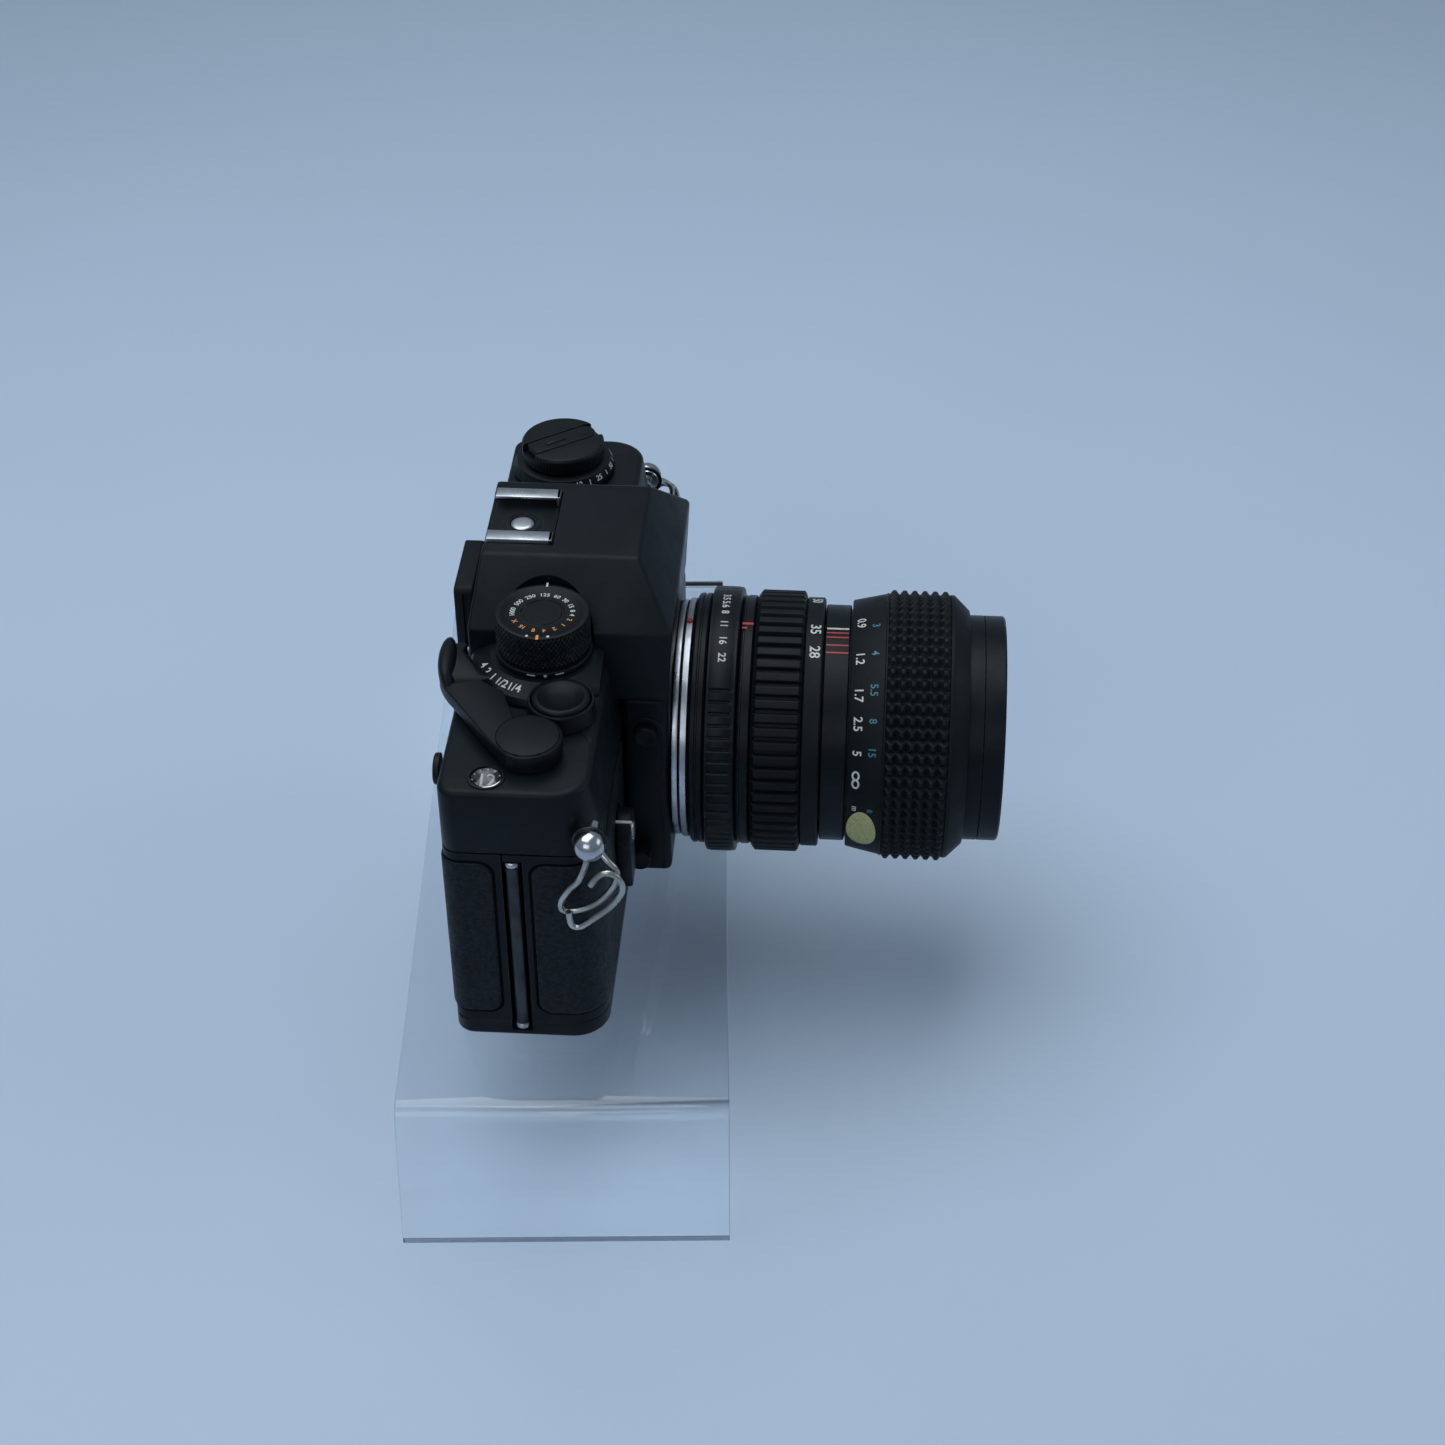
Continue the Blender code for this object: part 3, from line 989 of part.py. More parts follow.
def make_eyepiece_and_shoe():
    """The eyepiece frame with its glass, and the accessory shoe on the prism housing."""
    start = max(PRISM_WAIST_BACK, BODY_BACK) + GAP
    frame = box("eyepiece_frame", (-EYE_HALF, start, EYE_LOW_Z), (EYE_HALF, EYE_BACK, EYE_TOP_Z),
                BLACK, at=HERE, bevel=1.0)
    middle = (EYE_LOW_Z + EYE_TOP_Z) / 2
    half_height = EYE_OPENING_HEIGHT / 2
    opening = box("eye_opening", (-EYE_OPENING_HALF, start - 5, middle - half_height),
                  (EYE_OPENING_HALF, EYE_BACK + 5, middle + half_height))
    cut(frame, opening)
    box("eyepiece_lens", (-EYE_OPENING_HALF + GAP, start + 0.4, middle - half_height + GAP),
        (EYE_OPENING_HALF - GAP, start + 2.4, middle + half_height - GAP), GLASS)
    low = SHOE_SEAT_Z - 0.9 + GAP
    floor = SHOE_SEAT_Z
    outer = SHOE_RAIL_X + SHOE_RAIL_WIDTH / 2
    shoe = box("accessory_shoe", (-outer, SHOE_FRONT, low), (outer, SHOE_BACK, SHOE_TOP_Z), CHROME,
               at=HERE)
    channel = box("shoe_channel", (-outer + 1.0, SHOE_FRONT + 1.0, floor),
                  (outer - 1.0, SHOE_BACK + 3, SHOE_TOP_Z - 0.9))
    mouth = box("shoe_mouth", (-outer + SHOE_RAIL_WIDTH, SHOE_FRONT - 3, floor),
                (outer - SHOE_RAIL_WIDTH, SHOE_BACK + 3, SHOE_TOP_Z + 3))
    seat = turned("contact_seat", disc(CONTACT_RADIUS + GAP, low - 2, SHOE_TOP_Z),
                  (0.0, CONTACT_Y, 0.0), steps=SMALL_STEPS)
    cut(shoe, channel, mouth, seat)
    turned("shoe_contact", disc(CONTACT_RADIUS, low, floor + 0.15), (0.0, CONTACT_Y, 0.0), STEEL,
           steps=SMALL_STEPS)


def lens_ring(name, size, finish, bore=RING_BORE, edge=0.5):
    """A plain ring around the lens axis with broken outer edges. Size is (rear, front, radius)."""
    rear, front, radius = size
    profile = [
        (radius - edge, front), (radius, front - edge), (radius, rear + edge),
        (radius - edge, rear), (bore, rear), (bore, front),
    ]
    return turned(name, profile, HERE, finish, axis="LENS", closed=True)


def make_lens():
    """The zoom lens: mount, fixed barrel, turning rings, moving groups and glasses."""
    turned("lens_mount", [
        (MOUNT_RADIUS, BASE_RING[0] - GAP), (MOUNT_RADIUS, MOUNT_START),
        (THROAT_RADIUS - 1.2, MOUNT_START), (THROAT_RADIUS - 1.2, REAR_END),
        (REAR_GLASS_RADIUS + 0.6, REAR_END), (REAR_GLASS_RADIUS + 0.6, BASE_RING[0] - GAP),
    ], HERE, CHROME, axis="LENS", closed=True)
    turned("lens_barrel", [
        (BARREL_RADIUS, BARREL_FRONT), (BARREL_RADIUS, BASE_RING[1]),
        (BASE_RING[2], BASE_RING[1]), (BASE_RING[2], BASE_RING[0]),
        (BARREL_BORE, BASE_RING[0]), (BARREL_BORE, BARREL_FRONT),
    ], HERE, BLACK, axis="LENS", closed=True)
    turned("rear_glass", disc(REAR_GLASS_RADIUS, REAR_END + 1.0, REAR_END + 4.0), HERE, GLASS,
           axis="LENS")
    turned("iris_diaphragm", ring(ZOOM_GROUP_RADIUS, 6.0, 17.0, 18.2), HERE, DARK_METAL,
           axis="LENS", closed=True)
    lens_ring("aperture_ring", APERTURE_RING, BLACK)
    lens_ring("index_ring", INDEX_RING, BLACK)
    rear, front, radius = ZOOM_RING
    turned("zoom_ring", [
        (NUMBER_RADIUS, front), (NUMBER_RADIUS, ZOOM_GRIP_END + 0.2), (radius, ZOOM_GRIP_END - 0.4),
        (radius, rear + 0.5), (radius - 0.5, rear), (RING_BORE, rear), (RING_BORE, front),
    ], HERE, RUBBER, axis="LENS", closed=True)
    lens_ring("scale_ring", SCALE_RING, BLACK)
    rear, front, radius = FOCUS_RING
    tube_bore = FRONT_TUBE_RADIUS + GAP
    turned("focus_ring", [
        (tube_bore + 0.8, front), (radius - 0.5, FOCUS_GRIP_END + 0.2), (radius, FOCUS_GRIP_END - 0.4),
        (radius, FOCUS_CONE_END + 0.4), (radius - 0.8, FOCUS_CONE_END),
        (FOCUS_CONE_START_RADIUS, rear), (RING_BORE, rear), (RING_BORE, FOCUS_STEP),
        (tube_bore, FOCUS_STEP), (tube_bore, front),
    ], HERE, RUBBER, axis="LENS", closed=True)
    turned("front_tube", [
        (FRONT_TUBE_BORE + 1.4, LENS_FRONT), (FRONT_TUBE_RADIUS, LENS_FRONT - 0.6),
        (FRONT_TUBE_RADIUS, FRONT_TUBE_START), (FRONT_TUBE_BORE, FRONT_TUBE_START),
        (FRONT_TUBE_BORE, LENS_FRONT - 2.0), (FRONT_TUBE_BORE + 1.0, LENS_FRONT - 2.0),
        (FRONT_TUBE_BORE + 1.0, LENS_FRONT),
    ], HERE, BLACK, axis="LENS", closed=True)
    glass_front = LENS_FRONT - 6.0
    turned("front_glass", [
        (0.0, glass_front), (FRONT_GLASS_RADIUS * 0.4, glass_front - 0.5),
        (FRONT_GLASS_RADIUS * 0.75, glass_front - 1.9), (FRONT_GLASS_RADIUS, glass_front - 3.6),
        (FRONT_GLASS_RADIUS, glass_front - 7.0), (0.0, glass_front - 6.0),
    ], HERE, GLASS, axis="LENS")
    turned("zoom_group", ring(ZOOM_GROUP_RADIUS, 15.2, ZOOM_GROUP_START, ZOOM_GROUP_END), HERE,
           DARK_METAL, axis="LENS", closed=True)
    turned("zoom_glass", disc(15.0, ZOOM_GROUP_END - 5.0, ZOOM_GROUP_END - 2.0), HERE, GLASS,
           axis="LENS")


def main():
    global PARTS, CUTTERS
    clear_scene()
    PARTS = new_collection("film_camera_on_riser")
    CUTTERS = new_collection("cutters")
    make_riser()
    make_top_cover()
    make_casting()
    make_base_cover()
    make_front_plate()
    make_mirror_box()
    make_shutter()
    make_film_transport()
    make_door(pivot("door_pivot", (HINGE_ROD_X, HINGE_ROD_Y, 0.0)))
    make_wind_controls()
    make_rewind_controls()
    make_front_controls()
    make_strap_fittings()
    make_eyepiece_and_shoe()
    make_lens()


main()
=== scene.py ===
"""The looks of a black 35 mm film camera with a zoom lens, on a clear acrylic riser.

Shapes are modelled in the camera frame, in millimetres: the lens axis is X = 0, Z = 0, the lens
points to -Y and the wind-lever end is at -X. TO_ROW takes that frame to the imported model's own.
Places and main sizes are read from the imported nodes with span() and along_lens().
"""
import math

import bmesh
import bpy
from mathutils import Matrix, Vector


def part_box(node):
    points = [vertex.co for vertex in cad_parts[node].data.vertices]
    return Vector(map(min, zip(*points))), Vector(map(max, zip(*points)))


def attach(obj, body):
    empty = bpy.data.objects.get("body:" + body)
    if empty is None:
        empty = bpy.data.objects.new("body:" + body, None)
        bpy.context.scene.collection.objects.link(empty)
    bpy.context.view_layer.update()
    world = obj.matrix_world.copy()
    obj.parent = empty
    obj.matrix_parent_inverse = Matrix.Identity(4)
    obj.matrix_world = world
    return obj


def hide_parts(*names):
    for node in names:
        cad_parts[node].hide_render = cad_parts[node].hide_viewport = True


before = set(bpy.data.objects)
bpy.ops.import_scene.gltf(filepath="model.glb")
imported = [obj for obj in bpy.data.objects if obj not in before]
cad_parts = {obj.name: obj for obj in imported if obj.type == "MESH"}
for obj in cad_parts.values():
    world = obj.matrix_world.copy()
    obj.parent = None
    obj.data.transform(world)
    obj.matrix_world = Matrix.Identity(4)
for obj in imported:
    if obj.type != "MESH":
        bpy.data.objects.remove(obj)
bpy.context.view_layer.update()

MM = 0.001
MOUNT_FRONT = 10.5  # front of the lens mount, forwards from the camera frame's origin
RING_LOW, RING_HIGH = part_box("focus_ring")
ORIGIN = Vector((
    (RING_LOW.x + RING_HIGH.x) / 2,
    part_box("lens_mount")[0].y + MOUNT_FRONT * MM,
    (RING_LOW.z + RING_HIGH.z) / 2,
))
TO_ROW = Matrix.Translation(ORIGIN) @ Matrix.Scale(MM, 4)


def span(node):
    """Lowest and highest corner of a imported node, in the camera frame."""
    low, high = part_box(node)
    return (low - ORIGIN) / MM, (high - ORIGIN) / MM


def middle(node):
    low, high = span(node)
    return (low + high) / 2


def along_lens(node):
    """(rear, front, radius) of a ring around the lens axis, forwards from the origin."""
    low, high = span(node)
    return -high.y, -low.y, (high.x - low.x) / 2


def upright(node):
    """(x, y, low, high, radius) of a node turned about a vertical axis."""
    low, high = span(node)
    centre = (low + high) / 2
    return centre.x, centre.y, low.z, high.z, (high.x - low.x) / 2


BASE_LOW, BASE_HIGH = span("base_cover")
WIND_END, BODY_FRONT, BASE_Z = BASE_LOW
REWIND_END, BODY_BACK, BASE_SEAM_Z = BASE_HIGH
COVER_LOW, COVER_HIGH = span("top_cover")
TOP_SEAM_Z = COVER_LOW.z
CASTING_LOW, CASTING_HIGH = span("body_casting")
PLATE_LOW, PLATE_HIGH = span("front_plate")
DOOR_LOW, DOOR_HIGH = span("back_door")
DECK_Z = 37.0
DECK_FRONT = 6.6
DECK_ROUNDING = 1.4
BODY_CORNER = 8.0
BACK_CORNER = 4.0
WAIST_Z = 44.8
WAIST_HALF = 27.6
WAIST_BACK = 38.6
PRISM_TOP_HALF = 14.7
PRISM_TOP_FRONT = 0.5
PRISM_TOP_BACK = 36.5
CLEARANCE = 0.4
CORNER_STEPS = 12
THROAT_RADIUS = 22.5  # the opening of the camera mount
RING_BORE = 23.9  # the turning rings run on the barrel
BARREL_RADIUS = 23.5
CHAMBER_HALF = 20.3
CHAMBER_TOP_Z = 16.5
CHAMBER_LOW_Z = -17.5
FILM_PLANE_Y = 36.3
DOOR_LATCH_Y = 33.0
DOOR_END_WALL = 2.4
DOOR_LATCH_WALL = 1.8
DOOR_WALL = 2.6
PLATE_REAR_Y = 4.2
PIN_RADIUS = 1.5
PIN_HOLE_RADIUS = 1.9
SHAFT_RADIUS = 3.0
SHOE_SEAT_Z = 55.4
LEVER_LOW_Z = 38.6
LEVER_SWEEP = 17.9
CONE_RADIUS = 17.0
TIMER_BOSS_RADIUS = 5.2
CRANK_TURN = math.radians(-54.5)

AXES = {
    "Z": Matrix(((1, 0, 0), (0, 1, 0), (0, 0, 1))),
    "LENS": Matrix(((0, -1, 0), (0, 0, -1), (1, 0, 0))),
    "BACK": Matrix(((1, 0, 0), (0, 0, 1), (0, -1, 0))),
    "-X": Matrix(((0, 0, -1), (0, 1, 0), (1, 0, 0))),
    "+X": Matrix(((0, 0, 1), (0, -1, 0), (1, 0, 0))),
}


# Mesh helpers ------------------------------------------------------------------------------

def solid(shape):
    """A scratch object from a bmesh, with its faces turned outwards."""
    bmesh.ops.recalc_face_normals(shape, faces=shape.faces)
    mesh = bpy.data.meshes.new("scratch")
    shape.to_mesh(mesh)
    shape.free()
    thing = bpy.data.objects.new("scratch", mesh)
    bpy.context.scene.collection.objects.link(thing)
    return thing


def settle(thing):
    """Put the modified mesh in place of the modifiers."""
    graph = bpy.context.evaluated_depsgraph_get()
    mesh = bpy.data.meshes.new_from_object(thing.evaluated_get(graph))
    thing.modifiers.clear()
    thing.data = mesh
    return thing


def soften(thing, width, segments=3, angle=30.0):
    """Round the edges that are sharper than an angle in degrees."""
    rounding = thing.modifiers.new("rounding", "BEVEL")
    rounding.width = width
    rounding.segments = segments
    rounding.limit_method = "ANGLE"
    rounding.angle_limit = math.radians(angle)
    return settle(thing)


def combine(thing, others, operation):
    for other in others:
        boolean = thing.modifiers.new("boolean", "BOOLEAN")
        boolean.operation = operation
        boolean.solver = "EXACT"
        boolean.object = other
    settle(thing)
    for other in others:
        bpy.data.objects.remove(other, do_unlink=True)
    return thing


def cut(thing, *others):
    return combine(thing, others, "DIFFERENCE")


def block(low, high, edge=0.0, segments=3):
    """A box between two corners, with rounded edges."""
    low = Vector(low)
    size = Vector(high) - low
    shape = bmesh.new()
    bmesh.ops.create_cube(shape, size=1.0)
    bmesh.ops.scale(shape, vec=size, verts=shape.verts)
    bmesh.ops.translate(shape, vec=low + size / 2, verts=shape.verts)
    thing = solid(shape)
    return soften(thing, edge, segments) if edge else thing


def turned(profile, at=(0, 0, 0), axis="Z", steps=96, shape=None):
    """A turned solid. The profile is (radius, height) pairs round its section.

    A section that starts and ends at radius 0 is closed on the axis. shape(angle, radius,
    height) gives the radius at an angle, for ribs and knurls.
    """
    mesh = bmesh.new()
    rows = []
    for radius, height in profile:
        row = []
        for step in range(1 if radius == 0 else steps):
            angle = 2 * math.pi * step / steps
            reach = shape(angle, radius, height) if shape and radius else radius
            row.append(mesh.verts.new((reach * math.cos(angle), reach * math.sin(angle), height)))
        rows.append(row)
    pairs = list(zip(rows, rows[1:]))
    if len(rows[0]) > 1:
        pairs.append((rows[-1], rows[0]))
    for one, two in pairs:
        for step in range(steps):
            after = (step + 1) % steps
            if len(one) == 1:
                mesh.faces.new((one[0], two[step], two[after]))
            elif len(two) == 1:
                mesh.faces.new((two[0], one[after], one[step]))
            else:
                mesh.faces.new((one[step], two[step], two[after], one[after]))
    mesh.transform(Matrix.Translation(at) @ AXES[axis].to_4x4())
    return solid(mesh)


def arc(centre, radius, start, stop, steps=6):
    """Profile points along an arc between two angles in degrees."""
    turns = [math.radians(start + (stop - start) * step / steps) for step in range(steps + 1)]
    return [(centre[0] + radius * math.cos(a), centre[1] + radius * math.sin(a)) for a in turns]


def disc_profile(radius, low, high, edge=0.3):
    """Section of a disc with rounded rims."""
    top = arc((radius - edge, high - edge), edge, 90, 0, 4)
    foot = arc((radius - edge, low + edge), edge, 0, -90, 4)
    return [(0.0, high)] + top + foot + [(0.0, low)]


def ring_profile(outer, inner, low, high, edge=0.3):
    """Section of a ring with rounded outer rims and broken inner ones."""
    top = arc((outer - edge, high - edge), edge, 90, 0, 4)
    foot = arc((outer - edge, low + edge), edge, 0, -90, 4)
    half = edge / 2
    return top + foot + [(inner + half, low), (inner, low + half), (inner, high - half),
                         (inner + half, high)]


def rounded(corners, radii, steps=CORNER_STEPS):
    """A polygon whose corners are arcs. A corner with radius 0 stays sharp."""
    points = []
    for index, corner in enumerate(corners):
        here = Vector(corner)
        radius = radii[index] if isinstance(radii, (list, tuple)) else radii
        if radius == 0:
            points.append(here)
            continue
        behind = (Vector(corners[index - 1]) - here).normalized()
        ahead = (Vector(corners[(index + 1) % len(corners)]) - here).normalized()
        half = behind.angle(ahead) / 2
        centre = here + (behind + ahead).normalized() * radius / math.sin(half)
        start = here + behind * radius / math.tan(half) - centre
        turn = 1 if (-behind).cross(ahead) > 0 else -1
        sweep = turn * (math.pi - 2 * half)
        for step in range(steps + 1):
            points.append(centre + Matrix.Rotation(sweep * step / steps, 2) @ start)
    return points


def loft(sections):
    """A closed solid through sections of equal point counts."""
    shape = bmesh.new()
    rows = [[shape.verts.new(point) for point in section] for section in sections]
    count = len(rows[0])
    shape.faces.new(rows[0])
    shape.faces.new(rows[-1])
    for one, two in zip(rows, rows[1:]):
        for index in range(count):
            after = (index + 1) % count
            shape.faces.new((one[index], one[after], two[after], two[index]))
    return solid(shape)


def slab(outline, low, high, place=None, edge=0.0, segments=3):
    """A flat outline with thickness along its own Z, moved by a matrix."""
    thing = loft([[(x, y, height) for x, y in outline] for height in (low, high)])
    if place is not None:
        thing.data.transform(place)
    return soften(thing, edge, segments, 40.0) if edge else thing


def curve_shape(curve, weld):
    """A curve or a text as a bmesh, with points closer than weld joined."""
    thing = bpy.data.objects.new("scratch_curve", curve)
    bpy.context.scene.collection.objects.link(thing)
    graph = bpy.context.evaluated_depsgraph_get()
    mesh = bpy.data.meshes.new_from_object(thing.evaluated_get(graph))
    bpy.data.objects.remove(thing, do_unlink=True)
    shape = bmesh.new()
    shape.from_mesh(mesh)
    bmesh.ops.remove_doubles(shape, verts=shape.verts, dist=weld)
    return shape


def wire(points, radius, closed=False, steps=6):
    """A bent round wire. Its ends are rounded over when it is open."""
    curve = bpy.data.curves.new("wire", "CURVE")
    curve.dimensions = "3D"
    curve.bevel_depth = radius
    curve.bevel_resolution = steps
    curve.use_fill_caps = not closed
    spline = curve.splines.new("POLY")
    spline.points.add(len(points) - 1)
    for point, place in zip(spline.points, points):
        point.co = (*place, 1.0)
    spline.use_cyclic_u = closed
    return solid(curve_shape(curve, 0.001))


def smooth_path(corners, closed=False, steps=10):
    """Points of a Catmull-Rom curve through corners, each of any dimension."""
    corners = [Vector(corner) for corner in corners]
    count = len(corners)
    points = []
    for index in range(count if closed else count - 1):
        near = [corners[(index + shift) % count] if closed else
                corners[min(max(index + shift, 0), count - 1)] for shift in (-1, 0, 1, 2)]
        for step in range(steps):
            t = step / steps
            points.append(0.5 * (2 * near[1] + (near[2] - near[0]) * t
                                 + (2 * near[0] - 5 * near[1] + 4 * near[2] - near[3]) * t * t
                                 + (3 * near[1] - near[0] - 3 * near[2] + near[3]) * t ** 3))
    if not closed:
        points.append(corners[-1])
    return points


def wrapped_panel(path, low, high, corner, proud, side):
    """A thin covering with rounded corners and edges, laid along a level path of the body."""
    edge = 0.7
    ease = [0.0, 0.12, 0.3, 0.6, 1.0]
    reach = [0.0]
    for one, two in zip(path, path[1:]):
        reach.append(reach[-1] + (Vector(two) - Vector(one)).length)
    total = reach[-1]
    ends = [corner * (1 - math.cos(math.radians(a))) for a in range(0, 91, 9)]
    ends += [edge * value for value in ease]
    stops = sorted(set(round(s, 3) for s in reach + ends + [total - s for s in ends]))

    def at(distance):
        index = max(i for i in range(len(reach) - 1) if reach[i] <= distance + 1e-6)
        step = Vector(path[index + 1]) - Vector(path[index])
        part = (distance - reach[index]) / (reach[index + 1] - reach[index])
        normal = Vector((step.y, -step.x)).normalized() * side
        if part < 1e-4 and index:
            before = Vector(path[index]) - Vector(path[index - 1])
            normal = (normal + Vector((before.y, -before.x)).normalized() * side).normalized()
        return Vector(path[index]) + step * part, normal

    shape = bmesh.new()
    front, back = [], []
    for distance in stops:
        here, normal = at(distance)
        from_end = min(distance, total - distance)
        trim = 0.0
        if from_end < corner:
            trim = corner - math.sqrt(max(corner ** 2 - (corner - from_end) ** 2, 0.0))
        bottom, top = low + trim, high - trim
        heights = [bottom + edge * value for value in ease]
        heights += [bottom + (top - bottom) * part for part in (0.3, 0.5, 0.7)]
        heights += [top - edge * value for value in reversed(ease)]
        rows = ([], [])
        for number, height in enumerate(heights):
            inside = edge * min(1.0, (ease + [1.0] * 3 + ease[::-1])[number])
            depth = min(inside, from_end) / edge
            lift = -0.05 + (proud + 0.05) * math.sqrt(max(1 - (1 - min(depth, 1.0)) ** 2, 0.0))
            for row, out in zip(rows, (lift, -0.2)):
                place = here + normal * out
                row.append(shape.verts.new((place.x, place.y, height)))
        front.append(rows[0])
        back.append(rows[1])
    rim = [(i, 0) for i in range(len(front))]
    rim += [(len(front) - 1, j) for j in range(1, len(front[0]))]
    rim += [(i, len(front[0]) - 1) for i in range(len(front) - 2, -1, -1)]
    rim += [(0, j) for j in range(len(front[0]) - 2, 0, -1)]
    for sheet in (front, back):
        for one, two in zip(sheet, sheet[1:]):
            for j in range(len(one) - 1):
                shape.faces.new((one[j], two[j], two[j + 1], one[j + 1]))
    for here, after in zip(rim, rim[1:] + rim[:1]):
        shape.faces.new((front[here[0]][here[1]], front[after[0]][after[1]],
                         back[after[0]][after[1]], back[here[0]][here[1]]))
    return solid(shape)


def piece(name, parts, body, slot, finish, *nodes, sharp=38.0):
    """One visible object from scratch solids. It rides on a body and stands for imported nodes."""
    shape = bmesh.new()
    for part in parts:
        shape.from_mesh(part.data)
        bpy.data.objects.remove(part, do_unlink=True)
    shape.transform(TO_ROW)
    mesh = bpy.data.meshes.new(name)
    shape.to_mesh(mesh)
    shape.free()
    mesh.shade_smooth()
    mesh.set_sharp_from_angle(angle=math.radians(sharp))
    mesh.materials.append(finish)
    thing = bpy.data.objects.new(name, mesh)
    bpy.context.scene.collection.objects.link(thing)
    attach(thing, body)
    if nodes:
        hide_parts(*nodes)
    return thing


# Painted marks -----------------------------------------------------------------------------

PAINT_LIFT = 0.04
CAP_SHARE = 0.70


def on_lens(degrees, forward, radius, cone=0.0):
    """Wrap for marks on a lens ring: degrees from the top towards -X, reading towards -X."""
    def wrap(u, v, lift):
        angle = math.radians(degrees) + u / radius
        reach = radius + PAINT_LIFT + lift + cone * v
        return (-reach * math.sin(angle), -(forward + v), reach * math.cos(angle))
    return wrap


def on_disc(x, y, z, degrees, radius):
    """Wrap for marks on a level disc, with their tops outwards."""
    def wrap(u, v, lift):
        angle = math.radians(degrees) - u / radius
        reach = radius + v
        return (x + reach * math.cos(angle), y + reach * math.sin(angle), z + lift)
    return wrap


def on_cone(x, y, z, degrees, radius, slope):
    """Wrap for marks on an upright cone or drum. slope is its radius's loss per height."""
    def wrap(u, v, lift):
        angle = math.radians(degrees) + u / radius
        rise = v / math.hypot(1.0, slope)
        reach = radius - slope * rise + PAINT_LIFT + lift
        return (x + reach * math.cos(angle), y + reach * math.sin(angle), z + rise + lift)
    return wrap


def lettering(text, height, wrap):
    """A number as thin raised paint, bent to its place."""
    curve = bpy.data.curves.new("type", "FONT")
    curve.body = text
    curve.size = height / CAP_SHARE
    curve.align_x = "CENTER"
    curve.align_y = "CENTER"
    curve.extrude = 0.02
    curve.offset = 0.02 * height
    curve.resolution_u = 4
    shape = curve_shape(curve, 0.0005)
    for vertex in shape.verts:
        vertex.co = wrap(*vertex.co)
    return solid(shape)


def stroke(width, height, wrap, steps=4):
    """A rectangular painted mark. The width runs along the wrap's reading direction."""
    shape = bmesh.new()
    bmesh.ops.create_cube(shape, size=1.0)
    bmesh.ops.scale(shape, vec=(width, height, 0.05), verts=shape.verts)
    upright_edges = [edge for edge in shape.edges
                     if abs(edge.verts[0].co.x - edge.verts[1].co.x) > width / 2]
    bmesh.ops.subdivide_edges(shape, edges=upright_edges, cuts=steps)
    for vertex in shape.verts:
        vertex.co = wrap(*vertex.co)
    return solid(shape)


def dot(width, height, wrap, steps=28, lift=0.05):
    """A round or oval painted mark, slightly crowned."""
    shape = bmesh.new()
    rows = [[shape.verts.new(wrap(0, 0, lift))]]
    for share, up in ((0.5, lift), (0.9, lift * 0.9), (1.0, 0.0), (1.0, -0.06)):
        rows.append([shape.verts.new(wrap(width / 2 * share * math.cos(2 * math.pi * i / steps),
                                          height / 2 * share * math.sin(2 * math.pi * i / steps),
                                          up)) for i in range(steps)])
    for i in range(steps):
        after = (i + 1) % steps
        shape.faces.new((rows[0][0], rows[1][i], rows[1][after]))
        for one, two in zip(rows[1:], rows[2:]):
            shape.faces.new((one[i], two[i], two[after], one[after]))
    shape.faces.new(rows[-1])
    return solid(shape)


# Materials ---------------------------------------------------------------------------------

def add(tree, kind, inputs, **settings):
    """A shader node with its settings, and its inputs as values or as links."""
    node = tree.nodes.new("ShaderNode" + kind)
    for key, value in settings.items():
        setattr(node, key, value)
    for key, value in inputs.items():
        if isinstance(value, bpy.types.NodeSocket):
            tree.links.new(value, node.inputs[key])
        else:
            node.inputs[key].default_value = value
    return node


def new_material(name, colour, roughness, **sockets):
    material = bpy.data.materials.new(name)
    material.use_nodes = True
    tree = material.node_tree
    shader = tree.nodes["Principled BSDF"]
    shader.inputs["Base Color"].default_value = (*colour, 1.0)
    shader.inputs["Roughness"].default_value = roughness
    for key, value in sockets.items():
        shader.inputs[key.replace("_", " ")].default_value = value
    place = tree.nodes.new("ShaderNodeTexCoord").outputs["Object"]
    return material, tree, shader, place


def noise(tree, place, scale, detail=3.0, rough=0.55):
    return add(tree, "TexNoise", {"Vector": place, "Scale": scale, "Detail": detail,
                                  "Roughness": rough}).outputs["Fac"]


def ramp(tree, value, low, high, to_low, to_high):
    return add(tree, "MapRange", {"Value": value, "From Min": low, "From Max": high,
                                  "To Min": to_low, "To Max": to_high}).outputs["Result"]


def blend_colours(tree, share, one, two):
    node = add(tree, "Mix", {"Factor": share}, data_type="RGBA")
    for index, value in ((6, one), (7, two)):
        if isinstance(value, bpy.types.NodeSocket):
            tree.links.new(value, node.inputs[index])
        else:
            node.inputs[index].default_value = (*value, 1.0)
    return node.outputs[2]


def edge_mask(tree, place, radius, amount):
    """Where a surface turns over an edge, broken up so that wear is patchy."""
    bent = add(tree, "Bevel", {"Radius": radius}, samples=4).outputs["Normal"]
    flat = tree.nodes.new("ShaderNodeNewGeometry").outputs["Normal"]
    same = add(tree, "VectorMath", {0: bent, 1: flat}, operation="DOT_PRODUCT").outputs["Value"]
    turn = ramp(tree, same, 0.97, 0.75, 0.0, 1.0)
    patch = ramp(tree, noise(tree, place, 900.0, 4.0), 0.45, 0.6, 0.15, 1.0)
    worn = add(tree, "Math", {0: turn, 1: patch}, operation="MULTIPLY").outputs[0]
    return add(tree, "Math", {0: worn, 1: amount}, operation="MULTIPLY").outputs[0]


